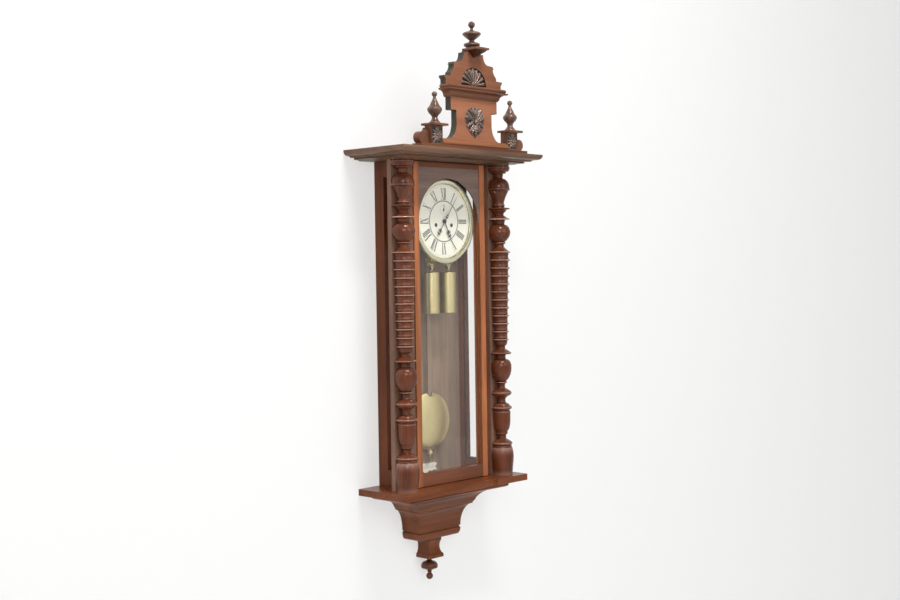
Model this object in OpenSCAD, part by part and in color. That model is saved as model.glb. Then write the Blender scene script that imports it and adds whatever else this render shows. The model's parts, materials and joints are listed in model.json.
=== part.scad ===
// Vienna regulator wall clock: glazed case, two turned columns, carved crest,
// weight driven going and striking trains and a seconds beat pendulum scale.
// Every module gives heights in millimetres above the dial centre.
// X is to the viewer's right, Y runs into the wall, and the back lies on Y = 0.

/* [Case] */
// Height of the hanging hole above the dial centre
hang_height = 120; // [116:1:124]
// Width over the two side frames
body_width = 291.6; // [288:0.4:300]
// Depth of the side frames, from the wall to the front boards
side_depth = 80; // [79:0.5:84]
// Thickness of the front boards that carry the columns
board_thick = 14; // [12:0.5:16]
// Rise of the case from the dial centre to the cornice
body_rise = 141.9; // [138:0.1:150]
// Drop of the case from the dial centre to the base shelf
body_drop = 633.5; // [628:0.5:650]
// Thickness of the side frames
side_thick = 18; // [16:0.5:20]
// Thickness of the back board
back_thick = 12; // [10:0.5:13]
// Width of the rear stile of each side frame
rear_stile = 31; // [28:1:34]
// Width of the front stile of each side frame
front_stile = 9; // [8:0.5:12]
// Height of the top rail of each side frame
side_top_rail = 37.4; // [34:0.2:40]
// Height of the bottom rail of each side frame
side_bottom_rail = 40.3; // [36:0.1:46]
// Thickness of the window panes
pane_thick = 3; // [2:0.5:4]
// Thickness of the floor board inside the case
floor_thick = 9; // [8:0.5:12]
// Width over the outer edges of the front boards
boards_width = 352; // [346:1:358]
// Width of the opening between the front boards
front_opening = 224; // [220:1:228]

/* [Cornice and base] */
// Width of the cornice
cornice_width = 487; // [480:1:500]
// Depth of the cornice
cornice_depth = 201.5; // [198:0.5:206]
// Height of the cornice moulding
cornice_height = 23.8; // [22:0.1:28]
// Width of the base shelf
shelf_width = 427.4; // [420:0.2:436]
// Depth of the base shelf at its end blocks
shelf_depth = 162.5; // [158:0.5:168]
// Thickness of the base shelf
shelf_thick = 16; // [14:0.5:20]
// Height of the carved corbel under the shelf
corbel_height = 126; // [120:1:132]
// Height of the waisted block under the corbel
block_height = 51.5; // [46:0.5:56]

/* [Columns] */
// Distance between the axes of the columns
column_spacing = 336; // [334:0.5:344]
// Distance of the column axes from the wall
column_set = 118.9; // [118:0.1:121]
// Number of turned rings on each shaft
ring_count = 12; // [10:1:14]

/* [Door] */
// Width of the door
door_width = 245.6; // [242:0.2:250]
// Thickness of the door
door_thick = 15.4; // [14:0.2:18]
// Width of the door stiles
stile_width = 16.5; // [14:0.5:18]
// Height of the bottom rail of the door
door_bottom_rail = 30; // [26:1:36]
// Height of the top rail of the door
door_top_rail = 12; // [10:1:16]
// Clearance between the closed door and the case front
door_gap = 0.6; // [0.5:0.1:1.5]
// Radius of the arch in the head of the door
arch_radius = 105.6; // [104:0.2:106]

/* [Crest] */
// Thickness of the crest board
crest_thick = 18; // [16:0.5:20]
// Distance of the front of the crest board from the wall
crest_front = 194; // [190:0.5:196]
// Height of the low plinth under the crest
crest_plinth = 6.3; // [5:0.1:8]
// Distance of each corner finial from the middle
corner_offset = 132; // [130:0.5:134]
// Width of the corner plinths
corner_width = 37; // [35:0.5:39]

/* [Dial and movement] */
// Radius of the visible enamel dial
dial_radius = 89; // [86:0.5:90]
// Width of the brass bezel
bezel_width = 14.5; // [13:0.5:15.5]
// Distance of the dial face from the wall
dial_face = 87; // [86.5:0.1:88]
// Radius of the inner ring of the chapters
chapter_inner = 49.8; // [48:0.2:52]
// Radius of the outer end of the chapters
chapter_outer = 81; // [79:0.5:83]
// Thickness of the two movement plates
plate_thick = 2.5; // [2:0.1:3]
// Distance of the front of the front plate from the wall
front_plate_y = 80; // [79.5:0.1:80.5]
// Distance of the front of the back plate from the wall
back_plate_y = 45; // [44.5:0.1:45.5]
// Offset of each winding arbor from the middle
winding_offset = 27; // [27:0.1:27.4]
// Depth of each winding arbor below the dial centre
winding_drop = 9.3; // [9:0.1:9.6]
// Radius at which the lines lie on the drums
drum_pitch_radius = 7.4; // [7:0.1:7.6]

/* [Pendulum] */
// Height of the suspension point above the dial centre
suspension_height = 74; // [73:0.5:76]
// Distance from the suspension point to the middle of the bob
bob_distance = 564; // [555:1:570]
// Radius of the pendulum bob
bob_radius = 70.5; // [66:0.5:72]
// Thickness of the pendulum bob
bob_thick = 22; // [18:0.5:23]
// Distance of the pendulum from the wall
pendulum_y = 28; // [27:0.5:29]
// Width of the pendulum rod
rod_width = 11; // [9:0.5:13]

/* [Weights] */
// Radius of each weight
weight_radius = 19.6; // [18:0.2:20]
// Length of each weight
weight_length = 100; // [94:1:106]
// Depth of the top of the weights below the dial centre
weight_drop = 123.5; // [120:0.5:130]
// Distance of the weights and their lines from the wall
weight_y = 70; // [69:0.5:71]
// Radius at which the lines lie on the pulleys
pulley_pitch_radius = 9.6; // [9.2:0.1:10]
// Diameter of the weight lines
line_diameter = 1.2; // [1:0.1:1.4]

/* [Hidden] */
$fn = 64;

// Planes of the case
half_body = body_width / 2;
inner_half = half_body - side_thick;
board_front = side_depth + board_thick;
shelf_top = -body_drop;
soffit = body_rise;
cornice_top = soffit + cornice_height;
shelf_bottom = shelf_top - shelf_thick;
corbel_bottom = shelf_bottom - corbel_height;
block_bottom = corbel_bottom - block_height;

// Planes of the door
door_half = door_width / 2;
door_back = board_front + door_gap;
door_front = door_back + door_thick;
door_low = shelf_top + 2;
door_high = soffit - 2;
sight_half = door_half - stile_width;
rebate = 4;
pane_back = door_front - 12;
pane_front = pane_back + pane_thick;
arch_centre = -3.5;
pin_x = door_half + 3.4;
pin_y = door_back + 2.6;

// Planes of the crest
crest_back = crest_front - crest_thick;
crest_base = cornice_top + crest_plinth;
bead_height = 12;
bead_reach = 7;
finial_y = crest_front - 5;

// Axes of the movement
centre_at = [0, 0];
escape_at = [0, suspension_height - 45.4];
anchor_at = [0, suspension_height];
third_at = [19.6, 20.2];
motion_at = [0, -16];
going_at = [winding_offset, -winding_drop];
strike_at = [-winding_offset, -winding_drop];
pin_wheel_at = [-35.4, 13.2];
fly_at = [-27.4, 27.1];

// Layers of the movement, as distances from the wall
plate_inner = front_plate_y - plate_thick;
plate_outer = back_plate_y - plate_thick;
great_layer = plate_inner - 3.3;
third_layer = back_plate_y + 10.3;
escape_layer = back_plate_y + 6.3;
centre_layer = back_plate_y + 3.3;
motion_layer = front_plate_y + 1;
hour_layer = front_plate_y + 3.2;
seconds_layer = dial_face + 1.2;
hour_hand_layer = dial_face + 2.6;
minute_hand_layer = dial_face + 4.2;
drum_near = weight_y - 12;
drum_far = weight_y + 3.5;

// Running fits of the movement
pivot_radius = 1;
pivot_gap = 0.05;
arbor_radius = 1.6;
square_radius = 3;
pipe_radius = 2;
pipe_gap = 0.08;

// Weights and lines
line_radius = line_diameter / 2;
weight_x = winding_offset - drum_pitch_radius + pulley_pitch_radius;
line_top = -winding_drop;
pulley_z = 29.5 - weight_drop;
bob_z = suspension_height - bob_distance;

// Moves a solid from the dial centre to the hanging hole
module hung() {
  translate([0, 0, -hang_height]) children();
}

// Extrudes a front view outline between two distances from the wall
module slab(near, far) {
  translate([0, -near, 0]) rotate([90, 0, 0]) linear_extrude(far - near) children();
}

// Extrudes a side view outline, given as distance from the wall and height
module across(x0, x1) {
  translate([x1, 0, 0]) rotate([90, 0, -90]) linear_extrude(x1 - x0) children();
}

// Box between two corners, with distances from the wall taken as positive
module box(x0, x1, near, far, z0, z1) {
  translate([x0, -far, z0]) cube([x1 - x0, far - near, z1 - z0]);
}

// Round bar along Y between two distances from the wall
module rod_y(x, z, near, far, r) {
  translate([x, -near, z]) rotate([90, 0, 0]) cylinder(h = far - near, r = r);
}

// Points along an elliptical arc
function arc(cx, cz, rx, rz, a0, a1, n) =
  [for (i = [0:n]) let (a = a0 + (a1 - a0) * i / n) [cx + rx * cos(a), cz + rz * sin(a)]];

// Points of a turned bead of height h about z, from radius r0 out to r1
function bead(z, h, r0, r1, n = 6) =
  [for (i = [0:n]) [r0 + (r1 - r0) * sin(180 * i / n), z - h / 2 + h * i / n]];

// Points of a polygon mirrored about the vertical axis
function both(p) = concat(p, [for (i = [len(p) - 1:-1:0]) [-p[i][0], p[i][1]]]);

// Shifts a profile along its height
function lift(p, z) = [for (q = p) [q[0], q[1] + z]];

// Back board
module back_board() {
  color([0.36, 0.2, 0.13]) hung() difference() {
    box(-inner_half, inner_half, 0, back_thick, shelf_top, soffit);
    box(-hanger_half, hanger_half, -1, hanger_thick, hanger_low, hanger_high);
    rod_y(0, hang_height, 0, back_thick - 2, 9);
  }
}
hanger_half = 14;
hanger_thick = 3;
hanger_low = hang_height - 26;
hanger_high = hang_height + 18;

// Hanging plate let into the back board
module wall_hanger() {
  color([0.75, 0.62, 0.35]) hung() difference() {
    box(-hanger_half, hanger_half, 0, hanger_thick, hanger_low, hanger_high);
    rod_y(0, hang_height, -1, hanger_thick + 1, 4);
  }
}

// Side frames with their glazed windows
module side_frame() {
  color([0.4, 0.2, 0.13]) hung() difference() {
    box(inner_half, half_body, 0, side_depth, shelf_top, soffit);
    box(inner_half - 1, half_body + 1, rear_stile, side_depth - front_stile, window_low, window_high);
    box(inner_half - 1, pane_outer, rear_stile - 4, side_depth - front_stile + 4,
      window_low - 4, window_high + 4);
  }
}
window_low = shelf_top + side_bottom_rail;
window_high = soffit - side_top_rail;
pane_inner = inner_half + 2;
pane_outer = pane_inner + pane_thick;
module right_side_frame() {
  side_frame();
}
module left_side_frame() {
  mirror([1, 0, 0]) side_frame();
}

module side_panes() {
  color([0.8, 0.9, 0.9, 0.35]) hung() for (side = [0, 1]) mirror([side, 0, 0])
    box(pane_inner, pane_outer, rear_stile - 4, side_depth - front_stile + 4,
      window_low - 4, window_high + 4);
}

// Floor board between the side frames
module case_floor() {
  color([0.34, 0.18, 0.12]) hung()
    box(-inner_half, inner_half, back_thick, side_depth, shelf_top, shelf_top + floor_thick);
}

// Front boards behind the columns, with a stopped chamfer on the outer edge
module front_board() {
  color([0.45, 0.22, 0.14]) hung() difference() {
    box(front_opening / 2, boards_width / 2, side_depth, board_front, shelf_top, soffit);
    translate([boards_width / 2, -board_front, (shelf_top + soffit) / 2]) rotate([0, 0, 45])
      cube([4, 4, soffit - shelf_top - 120], center = true);
  }
}
module front_boards() {
  front_board();
  mirror([1, 0, 0]) front_board();
}

// Cornice: one moulded block with mitred corners, profile as inset and drop
cornice_steps = concat([[0, 0], [0, 5]], arc(13.2, 5, 12.6, 8.5, 180, 90, 5),
  [[15, 13.8], [19.8, 14.6], [19.8, 16.9], [31.5, 16.9]],
  arc(31.5, 19, 2.1, 2.1, -90, 90, 4), [[44, 21.5], [49.7, cornice_height]]);
function moulded(half, steps, top) =
  both([for (s = steps) [half - s[0], top - s[1]]]);
function moulded_side(depth, steps, top) =
  concat([[0, top]], [for (s = steps) [depth - s[0], top - s[1]]],
    [[0, top - steps[len(steps) - 1][1]]]);
module cornice() {
  color([0.48, 0.26, 0.17]) hung() intersection() {
    slab(0, cornice_depth) polygon(moulded(cornice_width / 2, cornice_steps, cornice_top));
    across(-cornice_width / 2, cornice_width / 2)
      polygon(moulded_side(cornice_depth, cornice_steps, cornice_top));
  }
}

// Base shelf with a bowed middle between two square end blocks
block_edge = 103;
bow_rise = 8;
bow_half = 96;
bow_radius = (bow_half * bow_half + bow_rise * bow_rise) / (2 * bow_rise);
bow_angle = asin(bow_half / bow_radius);
function bow_line() =
  [for (i = [0:16]) let (a = bow_angle - 2 * bow_angle * i / 16)
    [bow_radius * sin(a), -shelf_depth - 0.5 + bow_radius * (1 - cos(a))]];
module base_shelf() {
  color([0.5, 0.24, 0.15]) hung() translate([0, 0, shelf_bottom]) linear_extrude(shelf_thick)
    polygon(concat([[shelf_width / 2, 0], [shelf_width / 2, -shelf_depth],
      [block_edge, -shelf_depth], [block_edge - 2, -shelf_depth + bow_rise]],
      bow_line(),
      [[2 - block_edge, -shelf_depth + bow_rise], [-block_edge, -shelf_depth],
      [-shelf_width / 2, -shelf_depth], [-shelf_width / 2, 0]]));
}

// Corbel below the shelf, with a deep cove, a ledge and an ovolo foot, hollow behind
corbel_wall = 13;
corbel_ledge = 60;
function corbel_profile(top, mid, low) = concat(
  [[top, 0], [top, 10], [top - 2, 12], [top - 8, 14.5]],
  arc(top - 8, 46, top - 12 - mid, 31.5, -90, -172, 8),
  [[mid, 47.5], [mid, 50]],
  arc(mid, 104, mid - low, 54, -98, -180, 7),
  [[low - 2.5, 104.5], [low - 2.5, 108], [low, 108.5]],
  arc(low - 7, 110, 7, corbel_height - 110, 0, 90, 5));
module base_corbel() {
  color([0.46, 0.21, 0.13]) hung() difference() {
    intersection() {
      slab(0, 140) polygon(both([for (p = corbel_profile(172, 94, 71)) [p[0], shelf_bottom - p[1]]]));
      across(-180, 180) polygon(concat([[0, shelf_bottom]],
        [for (p = corbel_profile(136, 84, 62.5)) [p[0], shelf_bottom - p[1]]],
        [[0, corbel_bottom]]));
    }
    box(corbel_wall - 81, 81 - corbel_wall, -1, 71 - corbel_wall,
      shelf_bottom - corbel_ledge, shelf_bottom - corbel_wall);
    box(corbel_wall - 71, 71 - corbel_wall, -1, 62.5 - corbel_wall,
      corbel_bottom + corbel_wall, shelf_bottom - corbel_ledge + 1);
  }
}

// Waisted square block below the corbel
function waist_profile(half) = concat([[half - 3.5, 0], [half - 3.5, 3]],
  arc(half + 4, 24, 11, 21, 227, 111, 8), [[half, 45], [half, block_height]]);
module base_block() {
  color([0.42, 0.18, 0.11]) hung() intersection() {
    slab(0, 48) polygon(both([for (p = waist_profile(24.5)) [p[0], corbel_bottom - p[1]]]));
    across(-26, 26) polygon(concat([[0, corbel_bottom]],
      [for (p = waist_profile(24.5)) [p[0] + 23, corbel_bottom - p[1]]], [[0, block_bottom]]));
  }
}

// Turned drop finial under the block
module drop_finial() {
  color([0.38, 0.15, 0.1]) hung() translate([0, -21.6, block_bottom]) rotate_extrude()
    polygon(concat([[0, 0], [9, 0], [7, -3], [5.6, -5.5], [5.6, -8], [9.5, -11]],
      arc(9.5, -23, 11.5, 12, 78, -20, 6), [[14.5, -29], [8.5, -32.5], [5.4, -35], [5.2, -39.5]],
      arc(0, -48, 8.6, 8.6, 68, -90, 10)));
}

// Turned column: a drum foot, beads, a ball and a vase, then ringed shaft and capital.
// The lower turnings keep their height above the shelf, the upper ones below the cornice,
// and the rings share what lies between. A strip behind the turning fills its necks.
foot_turning = concat(
  [[0, 0], [25.8, 0], [25.8, 68], [24.2, 70], [24.2, 73]],
  bead(78.5, 9, 23.4, 26.4),
  [[17.8, 86.5], [10.8, 90.5], [10.6, 99], [14.4, 102.5], [14.4, 106.5]],
  arc(13.5, 138, 8.5, 29, -75, 0, 6),
  [[22.2, 158], [20.8, 160.5]],
  bead(168, 11.5, 20.8, 26.3),
  [[18.4, 177], [11.3, 181.5], [11.3, 191.5], [18.6, 197.5]],
  bead(205, 12, 21.6, 26),
  [[17.6, 213.5], [10.5, 217.5], [10.5, 227]],
  bead(231.5, 4.5, 12.6, 15.4),
  [[15, 236.5], [17, 238.5], [20.4, 243.5], [23.4, 249.5], [25.6, 257], [26.5, 265]],
  arc(14.5, 271, 12, 18.5, 0, 90, 6),
  [[12.3, 292], [12.3, 300.5], [25.6, 303], [26.8, 305.8], [19.8, 311],
  [11.8, 316], [11.8, 322.5], [15.4, 326.5], [17.3, 333.5]]);
head_turning = concat(
  [[16, -208.5], [12, -204.5], [12, -199.5]],
  bead(-195, 5, 13.4, 16.4),
  [[15.4, -192.5], [17.4, -190], [21, -186], [24.4, -181.5], [27.2, -176]],
  arc(14, -169, 14.4, 20, 0, 84, 7),
  [[13.4, -147], [14.8, -142], [16, -138.5], [27.4, -136.6], [26.8, -134.6],
  [19.4, -130.5], [12.3, -125.5], [12.3, -121.5], [18.4, -115], [20.2, -112.5],
  [26.6, -110.4], [27.6, -108], [14.8, -105.6]],
  bead(-101, 4.4, 14.4, 15.4),
  [[13.2, -94], [14.6, -89], [17.2, -81.5], [20.6, -74], [23.6, -68], [25.2, -64.5]],
  [[28, -63], [28, -58.5]],
  arc(11, -57, 16.4, 23, 0, 86, 7),
  [[10.8, -31], [11.7, -26.5], [12.2, -23], [18.8, -21], [19.4, -18.4],
  [25.4, -16.5], [28.2, -11], [28.6, -6], [27, -4], [27, 0], [0, 0]]);
ring_low = shelf_top + 338.8;
ring_high = soffit - 217.9;
ring_pitch = (ring_high - ring_low) / (ring_count - 1);
function ring_reach(z) = 20.8 + 6.4 * (z - ring_low) / (ring_high - ring_low);
function shaft_reach(z) = 16.8 + 5.4 * (z - ring_low) / (ring_high - ring_low);
function one_ring(z) = [[ring_reach(z) - 3.4, z - 2.6], [ring_reach(z), z - 0.8],
  [ring_reach(z), z + 0.8], [ring_reach(z) - 3.4, z + 2.6]];
function hollow(z) = [[shaft_reach(z) + 0.9, z - ring_pitch / 5], [shaft_reach(z), z],
  [shaft_reach(z) + 0.9, z + ring_pitch / 5]];
function shaft_turning(i = 0) = i == ring_count ? [] :
  concat(one_ring(ring_low + i * ring_pitch),
    i < ring_count - 1 ? hollow(ring_low + (i + 0.5) * ring_pitch) : [],
    shaft_turning(i + 1));
strip_half = 14;
strip_thick = 9;
module column(x) {
  color([0.4, 0.16, 0.1]) hung() {
    difference() {
      translate([x, -column_set, 0]) rotate_extrude()
        polygon(concat(lift(foot_turning, shelf_top), shaft_turning(),
          lift(head_turning, soffit)));
      box(x - 40, x + 40, 0, board_front, shelf_top - 1, soffit + 1);
    }
    box(x - strip_half, x + strip_half, board_front, board_front + strip_thick, shelf_top, soffit);
  }
}
module right_column() {
  column(column_spacing / 2);
}
module left_column() {
  column(-column_spacing / 2);
}

// Crest: a shaped lower board, a mitred moulding and an arched head with stepped shoulders
neck_half = 61.5;
ear_half = 80.5;
crest_half = corner_offset - corner_width / 2;
moulding_low = crest_base + 113;
moulding_high = moulding_low + 29;
head_high = moulding_high + 85;
module crest_board() {
  color([0.62, 0.36, 0.25]) hung() slab(crest_back, crest_front)
    polygon(both(concat([[crest_half, crest_base], [crest_half, crest_base + 15]],
      arc(90, crest_base + 54, 90 - neck_half, 39, 270, 180, 8),
      [[neck_half, crest_base + 83], [ear_half, crest_base + 83], [ear_half, moulding_low]])));
}
moulding_steps = concat([[7, 0]], arc(7, 4.6, -3.6, 4.4, -80, 80, 6),
  [[7, 9.4], [0, 9.6], [0, 12.6], [3, 13.6]], arc(3, 24.5, 12.5, 10.9, -90, 0, 5),
  [[15.5, 26], [17.5, 26], [17.5, 29]]);
moulding_half = 103;
moulding_front = crest_front + 18;
module crest_moulding() {
  color([0.55, 0.3, 0.2]) hung() intersection() {
    slab(crest_back, moulding_front)
      polygon(moulded(moulding_half, moulding_steps, moulding_high));
    across(-moulding_half, moulding_half)
      polygon(moulded_side(moulding_front, moulding_steps, moulding_high));
  }
}
shell_radius = 43;
shell_z = moulding_high + 2;
shell_floor = crest_front - 6;
module crest_head() {
  color([0.62, 0.36, 0.25]) hung() difference() {
    slab(crest_back, crest_front) polygon(both(lift(concat(
      [[96, 0], [96, 10], [101, 16], [101, 19.5], [80.5, 20]],
      arc(110, 48, 42, 30, 223, 172, 5), [[71, 47], [68, 53.5], [50, 55]],
      arc(50, 79, 16, 24, 262, 180, 6), [[34, 77], [27, 78.5], [23, 80.5], [20.5, 85]]), moulding_high)));
    intersection() {
      rod_y(0, shell_z, shell_floor, crest_front + 1, shell_radius);
      box(-60, 60, shell_floor, crest_front + 1, shell_z, shell_z + 60);
    }
  }
}

// Scallop shell in the arched recess of the head
module rib(x, z, a, reach, r0, r1) {
  translate([x, 0, z]) rotate([0, 90 - a, 0]) cylinder(h = reach, r1 = r0, r2 = r1, $fn = 32);
}
module shell_carving() {
  color([0.3, 0.14, 0.08]) hung() intersection() {
    translate([0, -shell_floor, 0]) {
      for (a = [15:25:165]) rib(0, shell_z + 2, a, 37, 1.5, 8);
      translate([0, 0, shell_z + 4]) sphere(r = 7);
    }
    slab(shell_floor, crest_front + 3) intersection() {
      translate([0, shell_z]) circle(r = shell_radius - 1.5);
      translate([-50, shell_z]) square([100, 60]);
    }
  }
}

// Pointed cartouche of a shell above drooping leaves, in overlapping layers on a ground
leaf_z = crest_base + 60;
module leaf(z, a, reach, half, high) {
  slab(crest_front, crest_front + high) translate([0, z]) rotate(a)
    polygon([for (i = [0:15]) [reach * (i < 8 ? i : 16 - i) / 8, half * sin(22.5 * i)]]);
}
module leaf_carving() {
  color([0.3, 0.14, 0.08]) hung() {
    slab(crest_front, crest_front + 2) polygon(both([[6, leaf_z + 33], [20, leaf_z + 30],
      [32, leaf_z + 20], [35, leaf_z + 4], [29, leaf_z - 8], [31, leaf_z - 16],
      [20, leaf_z - 28], [9, leaf_z - 33], [0.2, leaf_z - 38]]));
    for (i = [0:6]) leaf(leaf_z - 4, 6 + 28 * i, 37, 6.6, i % 2 == 0 ? 4 : 5);
    for (side = [0, 1]) mirror([side, 0, 0]) {
      leaf(leaf_z - 2, -26, 34, 6, 4.5);
      leaf(leaf_z - 4, -55, 33, 6, 5.5);
    }
    leaf(leaf_z - 4, -90, 35, 7, 7);
    rod_y(0, leaf_z - 3, crest_front, crest_front + 8, 8);
  }
}

// Plinth strip and half round bead along the foot of the crest
module crest_base() {
  color([0.6, 0.3, 0.16]) hung() {
    box(-corner_offset - 52, corner_offset + 52, crest_back - 7, crest_front + bead_reach + 0.4,
      cornice_top, crest_base);
    across(-crest_half, crest_half) polygon(concat(
      [[crest_front, crest_base - 1], [crest_front + 1.5, crest_base - 1]],
      arc(crest_front, crest_base + bead_height / 2, bead_reach, bead_height / 2, -75, 88, 8),
      [[crest_front, crest_base + bead_height]]));
  }
}

// Square cap with its tapered bracket, and the turned finial above it
cap_thick = 5;
cap_back = crest_front - 17;
cap_front = crest_front + 32;
module crest_cap() {
  color([0.5, 0.26, 0.17]) hung() {
    difference() {
      box(-22, 22, cap_back, cap_front, head_high, head_high + cap_thick);
      for (side = [-1, 1]) translate([side * 22, -cap_front, head_high]) rotate([0, 0, 45])
        cube([2, 2, 30], center = true);
    }
    intersection() {
      across(-19, 19) polygon([[crest_front, head_high], [cap_front - 5, head_high],
        [cap_front - 8, head_high - 3], [crest_front, head_high - 16]]);
      slab(crest_front, cap_front) polygon([[-19, head_high], [19, head_high],
        [16, head_high - 4], [3, head_high - 16], [-3, head_high - 16], [-16, head_high - 4]]);
    }
  }
}
crest_turning = concat([[0, 0], [15, 0], [15, 4.6]], arc(15, 9.4, 4.8, 4.4, -70, 62, 6),
  [[13.6, 14.4], [9, 15.6], [6.6, 17.6], [6.4, 20.4], [9, 22.4], [14, 26], [18.6, 30]],
  arc(14.6, 35.2, 7.8, 4.6, -30, 60, 5), [[14, 40.6], [9.4, 42.8], [5, 43.8], [3.6, 45.8],
  [3.6, 49]], arc(0, 57, 8.3, 8.3, -62, 90, 9));
module crest_finial() {
  color([0.42, 0.2, 0.13]) hung() translate([0, -finial_y, head_high + cap_thick])
    rotate_extrude() polygon(crest_turning);
}

// Corner plinths with scrolled wings, and their finials
corner_high = 42;
corner_cap = 5;
corner_back = crest_back;
corner_front = crest_front + 4;
corner_rim = 1.8;
module corner_plinth() {
  translate([corner_offset, 0, 0]) {
    difference() {
      box(-corner_width / 2, corner_width / 2, corner_back, corner_front,
        crest_base, crest_base + corner_high);
      box(corner_rim - corner_width / 2, corner_width / 2 - corner_rim, corner_front - 1.5,
        corner_front + 1, crest_base + corner_rim, crest_base + corner_high - corner_rim);
    }
    slab(corner_back - 6, crest_front - 5) translate([corner_width / 2, crest_base])
      polygon(concat([[0, 0]], arc(17.8, 14, 14, 14, -90, 100, 10),
        arc(11.5, 39.5, 11.5, 11.5, -90, -172, 5), [[0, 38]]));
    box(-25, 25, corner_back - 5, crest_front + 17, crest_base + corner_high,
      crest_base + corner_high + corner_cap);
  }
}
module corner_plinths() {
  color([0.5, 0.27, 0.18]) hung() {
    corner_plinth();
    mirror([1, 0, 0]) corner_plinth();
  }
}
corner_turning = concat([[0, 0], [13.4, 0], [13.4, 1.5], [12, 4], [8.6, 8], [6.6, 12.5],
  [7.2, 16.5], [10.2, 20.5], [14.4, 24.6]], arc(10, 32, 7.3, 7.6, -50, 62, 7),
  [[13.2, 39.4], [11.2, 42], [9.8, 45.5], [7, 51], [4.6, 56], [3.5, 59.6], [3.5, 61.6]],
  arc(0, 67.4, 6.5, 6.5, -58, 90, 9));
module corner_finials() {
  color([0.42, 0.2, 0.13]) hung() for (side = [-1, 1])
    translate([side * corner_offset, -crest_front + 3, crest_base + corner_high + corner_cap])
      rotate_extrude() polygon(corner_turning);
}

// Enamelled beat scale screwed to the back board
scale_low = shelf_top + floor_thick + 4;
module beat_scale() {
  color([0.93, 0.9, 0.78]) hung() slab(back_thick, back_thick + 2)
    translate([0, scale_low]) polygon(both(concat([[33, 24], [39, 19.5], [33, 13], [39, 5.5]],
      arc(20, 5.5, 6, 1.5, 0, -180, 4), [[10, 4.5], [5, 0]])));
}

// Door frame: the glazing groove holds the pane
module door_frame() {
  color([0.5, 0.24, 0.15]) hung() difference() {
    box(-door_half, door_half, door_back, door_front, door_low, door_high);
    box(-sight_half, sight_half, door_back - 1, door_front + 1, sight_low, sight_high);
    box(-sight_half - rebate, sight_half + rebate, pane_back, pane_front,
      sight_low - rebate, sight_high + rebate);
  }
}
sight_low = door_low + door_bottom_rail;
sight_high = door_high - door_top_rail;
module door_glass() {
  color([0.8, 0.9, 0.9, 0.3]) hung() box(-sight_half - rebate, sight_half + rebate,
    pane_back, pane_front, sight_low - rebate, sight_high + rebate);
}
module door_spandrel() {
  color([0.46, 0.22, 0.14]) hung() slab(pane_front + 2, pane_front + 7) difference() {
    translate([-sight_half, arch_centre]) square([2 * sight_half, sight_high - arch_centre]);
    translate([0, arch_centre]) circle(r = arch_radius, $fn = 96);
  }
}

// Butt hinges on the viewer's right: the case leaf holds the pin
hinge_heights = [door_high - 80, door_low + 92];
hinge_half = 17;
knuckle_half = 6;
knuckle_gap = 0.4;
knuckle_radius = 2;
hinge_pin_radius = 1;
hinge_pin_gap = 0.06;
leaf_thick = 0.9;
module upright(z0, z1, r) {
  translate([pin_x, -pin_y, z0]) cylinder(h = z1 - z0, r = r);
}
module case_hinges() {
  color([0.7, 0.56, 0.3]) hung() for (z = hinge_heights) {
    box(pin_x - 1, pin_x + 14, board_front, board_front + leaf_thick, z - hinge_half, z + hinge_half);
    upright(z - hinge_half, z + hinge_half, hinge_pin_radius);
    for (end = [[z - hinge_half, z - knuckle_half - knuckle_gap],
        [z + knuckle_half + knuckle_gap, z + hinge_half]]) {
      upright(end[0], end[1], knuckle_radius);
      box(pin_x - 1, pin_x + 1, board_front, pin_y, end[0], end[1]);
    }
  }
}
module door_hinges() {
  color([0.7, 0.56, 0.3]) hung() for (z = hinge_heights) difference() {
    union() {
      box(door_half, door_half + 1, door_back, door_front - 2, z - hinge_half, z + hinge_half);
      upright(z - knuckle_half, z + knuckle_half, knuckle_radius);
      box(door_half, pin_x, pin_y - 1, pin_y + 1, z - knuckle_half, z + knuckle_half);
    }
    upright(z - knuckle_half - 1, z + knuckle_half + 1, hinge_pin_radius + hinge_pin_gap);
  }
}

// Enamel dial with its feet, seconds circle and holes
dial_thick = 1.5;
dial_edge = dial_radius + 8.5;
foot_places = [[-44, -30], [44, -30], [-44, 60], [44, 60]];
seconds_radius = 14;
module dial() {
  color([0.93, 0.9, 0.8]) hung() difference() {
    union() {
      rod_y(0, 0, dial_face - dial_thick, dial_face, dial_edge);
      for (p = foot_places) rod_y(p[0], p[1], front_plate_y, dial_face - dial_thick, 3);
    }
    rod_y(0, 0, dial_face - 0.2, dial_face + 1, chapter_inner - 8);
    rod_y(0, 0, dial_face - dial_thick - 1, dial_face + 1, 4);
    rod_y(escape_at[0], escape_at[1], dial_face - 0.4, dial_face + 1, seconds_radius - 2);
    rod_y(escape_at[0], escape_at[1], dial_face - dial_thick - 1, dial_face + 1, 1.8);
    for (p = [going_at, strike_at]) rod_y(p[0], p[1], dial_face - dial_thick - 1, dial_face + 1, 4);
  }
}

// Brass bezel: a turned ring clipped round the edge of the dial
module bezel() {
  color([0.82, 0.7, 0.42]) hung() rotate([90, 0, 0]) rotate_extrude($fn = 128)
    polygon([for (p = [[0, 0], [1.2, 3], [3.4, 5.6], [4, 8], [bezel_width - 5, 8],
      [bezel_width - 1.6, 6.6], [bezel_width, 3], [bezel_width, -3],
      [dial_edge - dial_radius + 0.1, -3], [dial_edge - dial_radius + 0.1, 0]])
      [dial_radius + p[0], dial_face + p[1]]]);
}

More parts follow.
